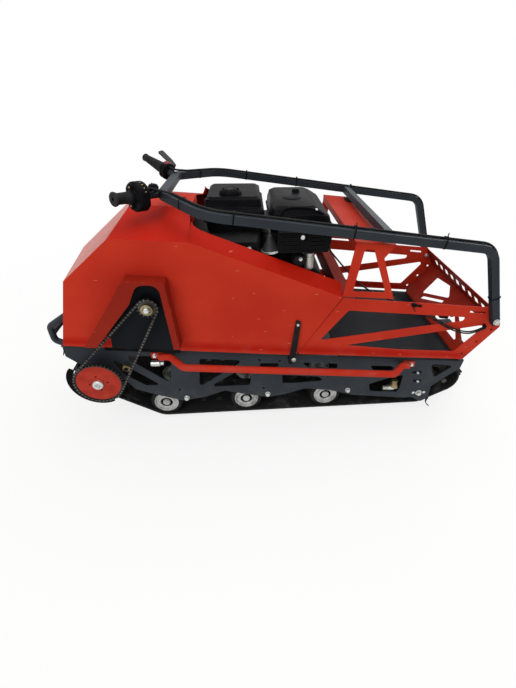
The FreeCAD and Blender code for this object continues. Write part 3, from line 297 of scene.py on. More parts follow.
def metal(name, color, stain, roughness, grain=240.0, strength=0.15, metallic=0.92, gloss=0.3):
    """A bare, plated or painted metal with stains and a fine surface."""
    f = Finish(name)
    cloud = f.noise(30.0, 5.0, 0.6)
    shade = f.mix_color(cloud.step(0.38, 0.72), color, stain)
    f.relief(f.noise(grain, 3.0), strength, 0.0004)
    return f.give(Base_Color=shade, Metallic=metallic, Roughness=roughness + 0.22 * cloud,
                  Specular_IOR_Level=gloss)


def cord_sheath():
    """Smooth black sheath."""
    f = Finish("cord_sheath")
    cloud = f.noise(70.0)
    color = f.mix_color(cloud.step(0.4, 0.7), (0.007, 0.007, 0.008), (0.014, 0.014, 0.014))
    return f.give(Base_Color=color, Roughness=0.42 + 0.1 * cloud, Specular_IOR_Level=0.10)


def sprocket_coat(centre, rim):
    """Red coat inside the wheel's rim and bare dark teeth outside it."""
    f = Finish("sprocket_coat")
    away = f.vector("SUBTRACT", f.place, tuple(centre))["Vector"]
    reach = f.length(f.vector("MULTIPLY", away, (1, 0, 1))["Vector"])
    cloud = f.noise(26.0, 4.0)
    color = f.mix_color(cloud.step(0.35, 0.7), (0.40, 0.032, 0.017), (0.32, 0.020, 0.010))
    teeth = (reach + 0.002 * f.noise(120.0)).step(rim - 0.004, rim)
    color = f.mix_color(teeth, color, (0.05, 0.045, 0.04))
    f.relief(f.noise(500.0), 0.15, 0.0004)
    return f.give(Base_Color=color, Roughness=0.5 + 0.1 * cloud, Metallic=teeth * 0.7,
                  Specular_IOR_Level=0.12)


RED_COAT = red_powder_coat("red_powder_coat")
HOOD_COAT = red_powder_coat("red_hood_coat", shade_flanges=True)
# painted shade: darker copies of the red coat for the bracket top, and for the chain cover, cross beam and
# tail plate, which take less light
BRACKET_COAT = red_powder_coat("red_bracket_coat", 0.74)
SHADED_RED_COAT = red_powder_coat("red_shaded_coat", 0.52)
GRIT_COAT = red_grit_coat()
GRAPHITE_COAT = graphite_coat("graphite_coat")
# painted shade: darker copies of the graphite coat for the handlebar, and for the tray floor, the chain
# cover's back, the engine mount and the hitch
BAR_COAT = graphite_coat("bar_coat", 0.88)
SHADED_GRAPHITE_COAT = graphite_coat("graphite_shaded_coat", 0.29)
TRACK_RUBBER = track_rubber()
SOFT_RUBBER = soft_rubber()
PLASTIC = black_plastic()
CORD = cord_sheath()
ZINC = metal("zinc_plate", (0.66, 0.67, 0.66), (0.46, 0.46, 0.44), 0.26)
CAST = metal("cast_aluminium", (0.24, 0.24, 0.245), (0.15, 0.15, 0.15), 0.42, 420.0, 0.4)
BLACK_CAST = metal("black_cast", (0.005, 0.005, 0.006), (0.010, 0.010, 0.010), 0.40, 420.0, 0.35,
                   metallic=0.0, gloss=0.10)
BOOT = metal("grey_boot", (0.030, 0.030, 0.030), (0.018, 0.018, 0.018), 0.40, 300.0, 0.3, metallic=0.0)
DULL_STEEL = metal("dull_steel", (0.095, 0.090, 0.086), (0.045, 0.040, 0.037), 0.48, 300.0, 0.4)
CHAIN_STEEL = metal("chain_steel", (0.050, 0.048, 0.046), (0.024, 0.023, 0.022), 0.34)
PIN_STEEL = metal("pin_steel", (0.22, 0.21, 0.20), (0.10, 0.095, 0.09), 0.36)
EXHAUST = metal("exhaust_steel", (0.60, 0.59, 0.56), (0.34, 0.31, 0.27), 0.3)
BRASS = metal("brass", (0.34, 0.27, 0.13), (0.19, 0.15, 0.08), 0.36)
HUB_STEEL = metal("hub_steel", (0.50, 0.51, 0.50), (0.27, 0.27, 0.26), 0.50, 300.0, 0.35)
CLEAR_RED = metal("red_plastic", (0.13, 0.006, 0.008), (0.08, 0.005, 0.006), 0.30, 300.0, 0.1, metallic=0.0)
LEVER_COAT = metal("lever_coat", (0.026, 0.027, 0.028), (0.018, 0.019, 0.020), 0.46, 600.0, 0.2,
                   metallic=0.0, gloss=0.15)


# ---- Mesh kit --------------------------------------------------------------------------
TINY = 0.01


def axes(along, up=Z):
    """Two directions square to along, and along itself."""
    along = Vector(along).normalized()
    side = Vector(up).cross(along)
    if side.length < 1e-3:
        side = X.cross(along)
    side.normalize()
    return side, along.cross(side), along


def circle(count, radius=1.0):
    """Evenly spaced (across, up) places on a circle."""
    angles = [2 * math.pi * k / count for k in range(count)]
    return [(radius * math.cos(angle), radius * math.sin(angle)) for angle in angles]


def straight(start, end, steps):
    """Evenly spaced points from start to end."""
    start, end = Vector(start), Vector(end)
    return [start + (end - start) * (k / steps) for k in range(steps + 1)]


def curve_through(points, steps=6):
    """A smooth line through given points."""
    points = [Vector(p) for p in points]
    line = []
    for i in range(len(points) - 1):
        a = points[max(i - 1, 0)]
        b, c = points[i], points[i + 1]
        d = points[min(i + 2, len(points) - 1)]
        for k in range(steps):
            t = k / steps
            line.append(0.5 * ((2 * b) + (c - a) * t + (2 * a - 5 * b + 4 * c - d) * t * t
                               + (3 * b - a - 3 * c + d) * t * t * t))
    line.append(points[-1])
    return line


class Mould:
    """A mesh under construction, in millimetres."""

    def __init__(self):
        self.points = []
        self.faces = []

    def skin(self, rings, closed=False):
        """A surface through rings of equally many points, closed on itself or capped."""
        start = len(self.points)
        count = len(rings[0])
        for ring in rings:
            self.points += [Vector(p) for p in ring]
        for i in range(len(rings) if closed else len(rings) - 1):
            a = start + i * count
            b = start + (i + 1) % len(rings) * count
            for k in range(count):
                m = (k + 1) % count
                self.faces.append((a + k, a + m, b + m, b + k))
        if not closed:
            last = start + (len(rings) - 1) * count
            self.faces.append(tuple(range(start, start + count)))
            self.faces.append(tuple(range(last, last + count)))

    def lathe(self, at, along, profile, segments=32):
        """A turned solid: profile is a list of (radius, height) along its axis."""
        side, up, along = axes(along)
        rings = []
        for radius, height in profile:
            centre = Vector(at) + along * height
            rings.append([centre + side * a + up * b for a, b in circle(segments, max(radius, TINY))])
        self.skin(rings)

    def ring(self, at, along, profile, segments=40):
        """A turned ring: profile is a closed outline of (radius, height)."""
        side, up, along = axes(along)
        rings = []
        for a, b in circle(segments):
            spoke = side * a + up * b
            rings.append([Vector(at) + along * height + spoke * radius for radius, height in profile])
        self.skin(rings, closed=True)

    def plate(self, at, outline, across, up, thick):
        """A flat outline of (across, up) places, thickened along the third direction."""
        across = Vector(across).normalized()
        up = Vector(up).normalized()
        through = across.cross(up) * thick
        face = [Vector(at) + across * a + up * b for a, b in outline]
        self.skin([face, [p + through for p in face]])

    def block(self, centre, size, along=X, up=Z):
        """A box: size is its length along, its width and its height."""
        side, lift, along = axes(along, up)
        long, wide, tall = (value / 2 for value in size)
        outline = [(-wide, -tall), (wide, -tall), (wide, tall), (-wide, tall)]
        self.skin([[Vector(centre) + along * reach + side * a + lift * b for a, b in outline]
                   for reach in (-long, long)])

    def tube(self, path, radius, segments=12, closed=False, flat=1.0):
        """A round bar, or a strap when flat is under one, along a path of points."""
        path = [Vector(p) for p in path]
        count = len(path)
        rings = []
        side = None
        for i, here in enumerate(path):
            before = path[i - 1] if closed or i else here
            after = path[(i + 1) % count] if closed or i + 1 < count else here
            along = (after - before).normalized()
            if side is None:
                side = axes(along)[0]
            side = (side - along * side.dot(along)).normalized()
            up = along.cross(side) * flat
            rings.append([here + side * a + up * b for a, b in circle(segments, radius)])
        self.skin(rings, closed=closed)

    def shell(self, sections, corner=5):
        """A moulded cover through level rounded rectangles: (z, x0, x1, y0, y1, radius)."""
        rings = []
        for z, x0, x1, y0, y1, r in sections:
            ring = []
            for x, y, start in ((x1 - r, y1 - r, 0), (x0 + r, y1 - r, 90), (x0 + r, y0 + r, 180),
                                (x1 - r, y0 + r, 270)):
                for k in range(corner):
                    angle = math.radians(start + 90 * k / (corner - 1))
                    ring.append((x + r * math.cos(angle), y + r * math.sin(angle), z))
            rings.append(ring)
        self.skin(rings)

    def bolt(self, at, along, width, washer=1.25, head=0.55):
        """Washer and hexagon head that stand on a face: washer and head are shares of the width."""
        r = width / 2
        thick = 0.12 * width
        top = thick + width * head
        self.lathe(at, along, [(r * washer, 0), (r * washer, thick * 0.8), (r * washer * 0.96, thick)], 24)
        self.lathe(at, along, [(r * 1.1, thick * 0.9), (r * 1.1, top * 0.9), (r * 0.98, top)], 6)
        self.lathe(at, along, [(r * 0.55, top * 0.98), (r * 0.5, top + 0.04 * width)], 16)

    def piece(self, name, material, body, replaces=(), bevel=0.0, smooth=35.0):
        """The finished object, which rides on a body and wears the given finish."""
        mesh = bpy.data.meshes.new(name)
        mesh.from_pydata([point * MM for point in self.points], [], self.faces)
        work = bmesh.new()
        work.from_mesh(mesh)
        bmesh.ops.remove_doubles(work, verts=work.verts, dist=2e-6)
        bmesh.ops.dissolve_degenerate(work, edges=work.edges, dist=1e-6)
        bmesh.ops.recalc_face_normals(work, faces=work.faces)
        work.to_mesh(mesh)
        work.free()
        thing = bpy.data.objects.new(name, mesh)
        bpy.context.scene.collection.objects.link(thing)
        if bevel:
            modifier = thing.modifiers.new("round", "BEVEL")
            modifier.width = bevel * MM
            modifier.segments = 2
            modifier.limit_method = "ANGLE"
            modifier.angle_limit = math.radians(32)
            graph = bpy.context.evaluated_depsgraph_get()
            mesh = bpy.data.meshes.new_from_object(thing.evaluated_get(graph))
            thing.modifiers.clear()
            thing.data = mesh
            mesh.name = name
        mesh.materials.append(material)
        for polygon in mesh.polygons:
            polygon.use_smooth = True
        mesh.set_sharp_from_angle(angle=math.radians(smooth))
        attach(thing, body)
        if replaces:
            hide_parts(*replaces)


def middle(node):
    """Centre of a node's box."""
    low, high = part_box(node)
    return (low + high) / (2 * MM)


def half_size(node):
    """Half of a node's box."""
    low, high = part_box(node)
    return (high - low) / (2 * MM)


# ---- Camera, floor and light -----------------------------------------------------------
CAMERA_AT = Vector((-0.090, -1.3327, 1.1475))
CAMERA_YAW = math.radians(4.956)
CAMERA_PITCH = math.radians(32.22)
CAMERA_ROLL = math.radians(0.68)
CAMERA_LENS = 19.50
CAMERA_SHIFT = (-0.0333, -0.0381)
FLOOR_REACH = 60.0
WORLD_COLOR = (1.0, 0.975, 0.94)
WORLD_STRENGTH = 0.62
WHITE = (1, 1, 1)


def make_camera():
    """Camera at the machine's left and above it, rolled a little."""
    data = bpy.data.cameras.new("camera")
    data.lens = CAMERA_LENS
    data.shift_x, data.shift_y = CAMERA_SHIFT
    ahead = Vector((math.sin(CAMERA_YAW) * math.cos(CAMERA_PITCH),
                    math.cos(CAMERA_YAW) * math.cos(CAMERA_PITCH), -math.sin(CAMERA_PITCH)))
    level = Vector((math.cos(CAMERA_YAW), -math.sin(CAMERA_YAW), 0))
    above = level.cross(ahead)
    right = level * math.cos(CAMERA_ROLL) + above * math.sin(CAMERA_ROLL)
    up = above * math.cos(CAMERA_ROLL) - level * math.sin(CAMERA_ROLL)
    camera = bpy.data.objects.new("camera", data)
    camera.matrix_world = Matrix.Translation(CAMERA_AT) @ Matrix((right, up, -ahead)).transposed().to_4x4()
    bpy.context.scene.collection.objects.link(camera)
    bpy.context.scene.camera = camera


def make_floor():
    """Pale floor that keeps the shadow and is near white to the camera."""
    mesh = bpy.data.meshes.new("floor")
    corners = [(-1, -1, 0), (1, -1, 0), (1, 1, 0), (-1, 1, 0)]
    mesh.from_pydata([Vector(corner) * FLOOR_REACH for corner in corners], [], [(0, 1, 2, 3)])
    floor = bpy.data.objects.new("floor", mesh)
    bpy.context.scene.collection.objects.link(floor)
    f = Finish("floor_paper")
    f.give(Base_Color=(0.80, 0.80, 0.80), Roughness=0.9, Specular_IOR_Level=0.1)
    glow = f.node("ShaderNodeEmission", {}, {"Color": WHITE, "Strength": 1.0})["Emission"]
    share = f.backdrop_rays() * (0.80 + 0.20 * f.length(f.place).step(0.8, 2.6))
    surface = f.node("ShaderNodeMixShader", {}, {0: share, 1: Wire(f, f.shader.outputs[0]), 2: glow})
    f.connect(f.tree.nodes["Material Output"].inputs["Surface"], surface["Shader"])
    mesh.materials.append(f.material)


def make_world():
    """Soft warm light on the machine, and white where the backdrop itself is seen."""
    world = bpy.data.worlds.new("studio")
    bpy.context.scene.world = world
    world.use_nodes = True
    studio = Shading(world.node_tree)
    soft = studio.tree.nodes["Background"]
    studio.connect(soft.inputs["Color"], WORLD_COLOR)
    studio.connect(soft.inputs["Strength"], WORLD_STRENGTH)
    white = studio.node("ShaderNodeBackground", {}, {"Color": WHITE})["Background"]
    sockets = {0: studio.backdrop_rays(), 1: Wire(studio, soft.outputs[0]), 2: white}
    surface = studio.node("ShaderNodeMixShader", {}, sockets)
    studio.connect(studio.tree.nodes["World Output"].inputs["Surface"], surface["Shader"])


def make_lamp(name, at, target, size, power):
    """A round lamp that faces its target."""
    data = bpy.data.lights.new(name, "AREA")
    data.shape = "DISK"
    data.size = size
    data.energy = power
    lamp = bpy.data.objects.new(name, data)
    lamp.location = at
    lamp.rotation_mode = "QUATERNION"
    lamp.rotation_quaternion = (Vector(target) - Vector(at)).to_track_quat("-Z", "Y")
    bpy.context.scene.collection.objects.link(lamp)


bpy.context.scene.view_settings.view_transform = "Standard"
make_camera()
make_floor()
make_world()
make_lamp("key_lamp", (-1.6, -2.6, 3.2), (0, 0, 0.4), 2.4, 62)
make_lamp("top_lamp", (0.6, 0.4, 3.4), (0, 0, 0.3), 3.0, 55)
make_lamp("rear_lamp", (2.6, 2.4, 2.2), (0, 0, 0.4), 2.0, 34)


# ---- CAD nodes that keep their shape ---------------------------------------------------
TOOTH = 7.5
WHEEL_RIM = half_size("driven_sprocket").z - TOOTH
CHAIN_WHEEL_COAT = sprocket_coat(middle("driven_sprocket") * MM, WHEEL_RIM * MM)
NODE_FINISH = {
    HOOD_COAT: ["hood_side_left", "hood_side_right", "tray_side_left", "tray_side_right"],
    RED_COAT: ["hood_top", "bracket_left", "bracket_right", "side_rail_left", "side_rail_right"],
    # painted shade: the next two coats are the red darkened for parts that take less light
    BRACKET_COAT: ["bracket_top"],
    SHADED_RED_COAT: ["chain_cover", "cross_beam", "tail_plate"],
    GRIT_COAT: ["hood_front"],
    # painted shade: the handlebar's coat is the graphite darkened a little
    BAR_COAT: ["handlebar_loop", "handlebar_cross", "grip_tubes"],
    GRAPHITE_COAT: ["front_bumper", "side_plate_left", "side_plate_right", "deck_plate", "roller_arms_left",
                    "roller_arms_right"],
    # painted shade: this coat is the graphite darkened to under a third
    SHADED_GRAPHITE_COAT: ["tray_floor", "chain_cover_back", "engine_mount", "tow_hitch"],
    SOFT_RUBBER: ["rest_pads", "hood_latches"],
    DULL_STEEL: ["output_sprocket", "drive_axle", "rear_idler"],
    CAST: ["gearbox"],
    LEVER_COAT: ["brake_lever"],
    PLASTIC: ["cable_glands", "muffler_guard"],
    CORD: ["run_cables", "tail_cables", "control_cable"],
    CHAIN_WHEEL_COAT: ["driven_sprocket"],
}
for material, names in NODE_FINISH.items():
    for name in names:
        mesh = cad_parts[name].data
        mesh.materials.clear()
        mesh.materials.append(material)


# ---- Track -----------------------------------------------------------------------------
BELT = 8
BELT_RIM = 2.5
BELT_STEPS = 5
LUG = 22
RIB_INSET = 12
LUG_PITCH = 64
WHEEL_GAP = 0.5
RIB = [(-8, -1), (8, -1), (6, 8), (3, 11), (-3, 11), (-6, 8)]
PADDLE = [(-7.5, 4), (7.5, 4), (4, 20.5), (2.5, LUG - 0.3), (-2.5, LUG - 0.3), (-4, 20.5)]
PADDLE_ENDS = ((-1, 0.86), (-0.93, 1), (0.93, 1), (1, 0.86))
PADDLE_ROWS = (((-0.25, 0.0, 0.25), 50), ((-0.37, -0.125, 0.125, 0.37), 42))
CLIP_SHARES = (-0.72, -0.30, 0.30, 0.72)
CLIP = (22, 16, 2)
CLIP_STAND = 0.2


def wheel_circle(node):
    """Centre and radius, in the side view, of the wheel that a node turns on."""
    centre = middle(node)
    return centre.x, centre.z, half_size(node).z + WHEEL_GAP


def tangents(circles):
    """Where a taut loop leaves one circle and meets the next, with its outward angle."""
    spans = []
    for i, (x0, z0, r0) in enumerate(circles):
        x1, z1, r1 = circles[(i + 1) % len(circles)]
        gap = math.hypot(x1 - x0, z1 - z0)
        lean = math.atan2(z1 - z0, x1 - x0) - math.pi / 2 - math.asin((r1 - r0) / gap)
        out = (math.cos(lean), math.sin(lean))
        spans.append(((x0 + r0 * out[0], z0 + r0 * out[1]), (x1 + r1 * out[0], z1 + r1 * out[1]), lean))
    return spans


def along_loop(circles, count):
    """Evenly spaced (place, outward direction) pairs round a taut loop, and its length."""
    spans = tangents(circles)
    stretches = []
    for i, (leave, arrive, lean) in enumerate(spans):
        stretches.append((leave, arrive, None, lean, math.dist(leave, arrive)))
        x, z, r = circles[(i + 1) % len(circles)]
        turn = (spans[(i + 1) % len(spans)][2] - lean) % (2 * math.pi)
        stretches.append(((x, z), None, r, lean, r * turn))
    total = sum(stretch[4] for stretch in stretches)
    places = []
    for k in range(count):
        s = total * k / count
        for a, b, r, lean, length in stretches:
            if s <= length:
                break
            s -= length
        angle = lean if r is None else lean + s / r
        out = Vector((math.cos(angle), 0, math.sin(angle)))
        if r is None:
            t = s / length
            at = Vector((a[0] + (b[0] - a[0]) * t, 0, a[1] + (b[1] - a[1]) * t))
        else:
            at = Vector((a[0], 0, a[1])) + out * r
        places.append((at, out))
    return places, total


def make_track():
    """Moulded belt with a rib and paddles on every pitch outside, and steel clips inside."""
    half = half_size("track").y
    inner = [wheel_circle(node) for node in ("rollers_1", "rollers_4", "rear_idler", "drive_axle")]
    rows = round(along_loop(inner, 1)[1] / LUG_PITCH)
    flat = half - BELT_RIM
    section = [(-half, BELT_RIM), (-flat, 0), (flat, 0), (half, BELT_RIM), (half, BELT - BELT_RIM),
               (flat, BELT), (-flat, BELT), (-half, BELT - BELT_RIM)]
    belt = Mould()
    belt.skin([[at + Y * y + out * n for y, n in section]
               for at, out in along_loop(inner, rows * BELT_STEPS)[0]], closed=True)
    belt.piece("track_belt", TRACK_RUBBER, "chassis", ["track"], smooth=40)

    lugs = Mould()
    clips = Mould()
    outer = [(x, z, r + BELT) for x, z, r in inner]
    for k, (at, out) in enumerate(along_loop(outer, rows)[0]):
        run = Y.cross(out)
        lugs.skin([[at + Y * y + run * a + out * b for a, b in RIB]
                   for y in (RIB_INSET - half, half - RIB_INSET)])
        centres, reach = PADDLE_ROWS[k % 2]
        for share in centres:
            middle_y = share * 2 * half
            lugs.skin([[at + Y * (middle_y + end * reach) + run * a * pinch + out * b for a, b in PADDLE]
                       for end, pinch in PADDLE_ENDS])
        for share in CLIP_SHARES:
            clips.block(at - out * (BELT + CLIP_STAND) + Y * share * half, CLIP, run, out)
    lugs.piece("track_lugs", TRACK_RUBBER, "chassis", bevel=1.2)
    clips.piece("track_clips", DULL_STEEL, "chassis", bevel=0.5)


# ---- Rollers ---------------------------------------------------------------------------
TYRE = [(0.74, -12.8), (0.93, -16), (0.985, -13.12), (1, -8), (0.992, 0), (1, 8), (0.985, 13.12), (0.93, 16),
        (0.74, 12.8)]
HUB_FACE = [(0, 14), (9, 14), (9.5, 12), (12, 12), (16, 13), (19, 12), (20, 6.5), (24, 4.5), (33, 4.0),
            (37, 7), (42, 12), (44, 13.2), (46.2, 13.2), (46.5, 10), (46.5, 0)]
END_FACE = [(43, 0), (46, 0.5), (46, 4), (44, 6), (41.5, 6), (39.5, 1.5), (30, 1.0), (28, 5), (24, 5.6),
            (22, 1.6), (15, 1.2), (13.5, 6), (8, 6.4), (7.5, 3.6)]
END_PLATE = [(35.5, 2), (35.5, 3.6), (33.5, 4.2), (30, 4.2), (29, 2)]
END_TYRE = [(45.5, -12), (60, -12), (60.5, -3), (56, 2), (47.5, 3)]
ROLLERS = ["rollers_1", "rollers_2", "rollers_3", "rollers_4"]
OUTER_INSET = 38
INNER_Y = 70
END_Y = 245
AXLE_RADIUS = 10


def make_rollers():
    """Pressed hubs with bearings, each in a black tyre, on an axle."""
    tyres = Mould()
    hubs = Mould()
    outer = half_size("track").y - OUTER_INSET
    for node in ROLLERS:
        x, _, z = middle(node)
        _, reach, radius = half_size(node)
        for y in (-outer, -INNER_Y, INNER_Y, outer):
            tyres.ring((x, y, z), Y, [(radius * share, width) for share, width in TYRE])
            for side in SIDES:
                hubs.lathe((x, y, z), Y * side, HUB_FACE, 36)
        if node != "rollers_4":
            for side in SIDES:
                end = (x, side * END_Y, z)
                hubs.lathe(end, Y * side, END_FACE, 40)
                hubs.lathe(end, Y * side, END_PLATE, 6)
                tyres.ring(end, Y * side, END_TYRE, 48)
        hubs.lathe((x, -reach, z), Y, [(AXLE_RADIUS, 0), (AXLE_RADIUS, 2 * reach)], 20)
    tyres.piece("roller_tyres", SOFT_RUBBER, "chassis", smooth=50)
    hubs.piece("roller_hubs", HUB_STEEL, "chassis", ROLLERS, smooth=40)


# ---- Chain drive -----------------------------------------------------------------------
CHAIN_PITCH = 12.7
WHEEL_TEETH = 40
PINION_TEETH = 15
LINK_END = 4.9
LINK_WAIST = 2.7
LINK_PLATE = 1.2
LINK_OFFSETS = (3.5, 5.0)
BUSH_RADIUS, BUSH_LENGTH = 4.1, 6.4
PIN_RADIUS, PIN_LENGTH = 1.9, 11.8


def pitch_radius(teeth):
    """Radius of the circle that the chain's pins run on round a wheel."""
    return CHAIN_PITCH / (2 * math.sin(math.pi / teeth))


def link_outline(pitch):
    """A link's plate: round at both pins and narrow between them."""
    outline = []
    for end, turn in ((pitch, -1), (0, 1)):
        for step in range(7):
            angle = math.radians(30 * step - 90)
            outline.append((end - turn * LINK_END * math.cos(angle), -turn * LINK_END * math.sin(angle)))
        outline.append((pitch / 2, -turn * LINK_WAIST))
    return outline


def make_chain():
    """Roller chain with alternate inner and outer links round both wheels."""
    circles = []
    for node, teeth in (("driven_sprocket", WHEEL_TEETH), ("output_sprocket", PINION_TEETH)):
        centre = middle(node)
        circles.append((centre.x, centre.z, pitch_radius(teeth)))
    count = 2 * round(along_loop(circles, 1)[1] / CHAIN_PITCH / 2)
    pins = [at + Y * middle("drive_chain").y for at, _ in along_loop(circles, count)[0]]
    plates = Mould()
    rollers = Mould()
    tips = Mould()
    for k, here in enumerate(pins):
        link = pins[(k + 1) % count] - here
        outline = link_outline(link.length)
        for side in SIDES:
            left_face = here + Y * (LINK_OFFSETS[k % 2] * side - LINK_PLATE / 2)
            plates.plate(left_face, outline, link, link.cross(Y), -LINK_PLATE)
        for mould, radius, length, segments in ((rollers, BUSH_RADIUS, BUSH_LENGTH, 14),
                                                (tips, PIN_RADIUS, PIN_LENGTH, 10)):
            mould.lathe(here - Y * (length / 2), Y, [(radius, 0), (radius, length)], segments)
    plates.piece("chain_plates", CHAIN_STEEL, "chassis", ["drive_chain"], smooth=30)
    rollers.piece("chain_rollers", CHAIN_STEEL, "chassis", smooth=40)
    tips.piece("chain_pins", PIN_STEEL, "chassis", smooth=40)


# ---- Engine ----------------------------------------------------------------------------
CASE_BOLTS = ((-112, 470), (140, 470), (-112, 575), (134, 575), (-10, 508), (-10, 590), (38, 565),
              (-58, 565))
FIN_COUNT = 12
FIN_PITCH = 13
FIN_THICK = 4
BOOT_TOP = (-32, -198, 742)
BOOT_MOUTH = (-27, -198, 691)
BOOT_LEAN = (0.10, 0, -1)
SPRING_START = (2, -198, 668)
SPRING_RADIUS = 8
SPRING_WIRE = 1.1
SPRING_ADVANCE = 0.30
SPRING_POINTS = 90
SPRING_TURN = 14


def spring_wire():
    """Points along the governor spring's helix, which runs along X."""
    x, y, z = SPRING_START
    wire = []
    for k in range(SPRING_POINTS):
        angle = 2 * math.pi * k / SPRING_TURN
        wire.append((x + SPRING_ADVANCE * k, y + SPRING_RADIUS * math.cos(angle),
                     z + SPRING_RADIUS * math.sin(angle)))
    return wire


def make_engine():
    """Crankcase, cylinder fins and shroud, with the bolts, boot and spring on their left face."""
    case = Mould()
    case.shell([(455, -120, 150, -160, 125, 12), (462, -126, 155, -166, 130, 14),
                (590, -126, 150, -166, 130, 14), (615, -110, 110, -160, 124, 16)])
    case.shell([(610, -70, 108, -150, 128, 24), (700, -70, 110, -150, 128, 26),
                (728, -60, 108, -140, 120, 34), (735, -44, 100, -124, 104, 40)])
    case.shell([(560, -290, -60, -200, 150, 20), (690, -306, -60, -212, 160, 22),
                (722, -304, -58, -210, 160, 24), (738, -290, -60, -190, 150, 26)])
    case.lathe((-10, -163, 560), -Y, [(66, 0), (66, 4), (60, 7)], 40)
    fins = Mould()
    for k in range(FIN_COUNT):
        foot = 560 + FIN_PITCH * k
        fins.shell([(z, -172, -66, -118, 82, 10) for z in (foot, foot + FIN_THICK)])
    fins.shell([(z, -168, -72, -96, 60, 12) for z in (556, 712)])
    fins.shell([(z, -175, -160, -80, 46, 7) for z in (560, 700)])
    fins.piece("engine_fins", CAST, "chassis", bevel=0.8)
    small = Mould()
    for x, z in CASE_BOLTS:
        small.bolt((x, -166.5, z), -Y, 13)
    small.bolt((-96, -212, 700), -Y, 14)
    small.bolt((68, -244.5, 749), -Y, 13, 1.15)
    small.piece("engine_bolts", ZINC, "chassis", smooth=30)

    boot = Mould()
    boot.lathe(BOOT_TOP, BOOT_LEAN, [(5, 0), (8, 3), (9, 12), (14, 22), (25, 40), (30, 51), (27, 51)], 28)
    boot.tube(curve_through([(-30, -196, 741), (-33, -186, 752), (-52, -160, 756), (-80, -130, 742)]), 4.5)
    boot.piece("engine_boot", BOOT, "chassis", smooth=50)
    bright = Mould()
    bright.ring(BOOT_MOUTH, BOOT_LEAN, [(28.5, -3), (32, -2), (32.5, 3), (29, 3.5)], 32)
    case.tube(spring_wire(), SPRING_WIRE, 6)
    bright.piece("engine_rim", EXHAUST, "chassis", smooth=60)
    case.piece("engine_case", BLACK_CAST, "chassis", ["engine_block"], smooth=40)


VENTS = 6
VENT_PITCH = 4.6
KNOB_AT = Vector((-150, -100, 842))
KNOB_ARMS = (20, 140, 260)


def make_air_cleaner():
    """Two-part cover with a ledge, vents down its front edge and a three-armed knob."""
    cover = Mould()
    cover.shell([(741, -226, -52, -160, 52, 8), (774, -229, -50, -164, 56, 8),
                 (775, -236, -45, -170, 60, 10), (806, -236, -45, -170, 60, 10),
                 (811, -234, -46, -166, 58, 11), (815, -229, -52, -153, 53, 11),
                 (838, -226, -55, -150, 51, 12), (846, -217, -66, -141, 41, 13)])
    cover.piece("air_cleaner_cover", PLASTIC, "chassis", ["air_cleaner"], smooth=28)
    extra = Mould()
    for k in range(VENTS):
        extra.block((-221, -144, 817 + VENT_PITCH * k), (16, 18, 2.2))
    extra.lathe(KNOB_AT, Z, [(36, 0), (36, 8), (34, 14), (30, 18), (28, 19), (26, 15), (22, 15), (21, 19),
                             (10, 20)], 40)
    for degrees in KNOB_ARMS:
        angle = math.radians(degrees)
        arm = Vector((math.cos(angle), math.sin(angle), 0))
        extra.block(KNOB_AT + Z * 18 + arm * 17, (18, 7, 4), arm)
    extra.plate((-206, -171, 782), [(0, 0), (128, 0), (122, 18), (8, 18)], X, Z, 2)
    extra.piece("air_cleaner_knob", PLASTIC, "chassis", bevel=0.8)


def make_tank():
    """Moulded tank with a seam, an arched panel and a ridge on its left face, and a small cap."""
    tank = Mould()
    tank.shell([(741, -20, 156, -158, 136, 8), (752, -23, 166, -163, 141, 10),
                (753, -28, 172, -168, 146, 12), (760, -28, 178, -169, 146, 13),
                (761, -24, 174, -164, 141, 12), (784, -22, 168, -160, 138, 13),
                (806, -16, 134, -152, 130, 15), (814, -4, 118, -141, 119, 17)])
    tank.piece("tank_body", PLASTIC, "chassis", ["fuel_tank"], smooth=28)
    extra = Mould()
    arch = []
    for k in range(13):
        angle = math.radians(180 - 15 * k)
        arch.append((70 + 70 * math.cos(angle), 20 + 10 * math.sin(angle) + 4 * math.cos(angle)))
    extra.plate((12, -161, 762), [(152, 0), (6, 0)] + arch, X, Z, 6)
    extra.plate((-8, -157, 764), [(0, 0), (18, 0), (12, 30), (3, 36)], X, Z, 6)
    extra.lathe((78, 50, 810), Z, [(14, 0), (14, 8), (12, 13), (6, 15)], 28)
    extra.lathe((56, -30, 813), Z, [(34, 0), (34, 1.5), (30, 3), (12, 3.4)], 40)
    extra.tube(curve_through([(2, -163, 772), (6, -158, 792), (18, -152, 805), (44, -148, 811),
                              (96, -149, 809), (130, -153, 800), (158, -160, 782)]), 4.5)
    extra.piece("tank_panel", PLASTIC, "chassis", bevel=1.5)
    bolt = Mould()
    bolt.bolt((122, -150, 804), (0.2, -0.8, 0.7), 8)
    bolt.piece("tank_bolt", ZINC, "chassis")


CAN_AT = (62, -168, 664)
OUTLET_AT = (97, -214, 630)
OUTLET_RIBS = 6
OUTLET_RIB_PITCH = 7


def make_exhaust():
    """Canister with a screw in its domed end, and a ribbed upright outlet."""
    can = Mould()
    can.lathe(CAN_AT, -Y, [(20, 0), (23, 4), (23, 40), (24.5, 41), (24.5, 48), (23, 49), (22.5, 58),
                           (18, 65), (8, 67)])
    can.piece("exhaust_canister", BLACK_CAST, "chassis", ["muffler"], smooth=40)
    pipe = Mould()
    profile = [(11, 0), (13.5, 1)]
    for k in range(OUTLET_RIBS):
        groove = 11 + OUTLET_RIB_PITCH * k
        profile += [(14.2, groove - 5.5), (14.2, groove - 3), (13, groove - 2), (13, groove)]
    profile += [(14, 50), (14, 56), (10, 58)]
    pipe.lathe(OUTLET_AT, Z, profile, 28)
    pipe.bolt((66, -235, 672), -Y, 10)
    pipe.piece("exhaust_outlet", EXHAUST, "chassis", smooth=35)


STARTER_AT = Vector((10, 130, 630))
STARTER_SLOTS = 20


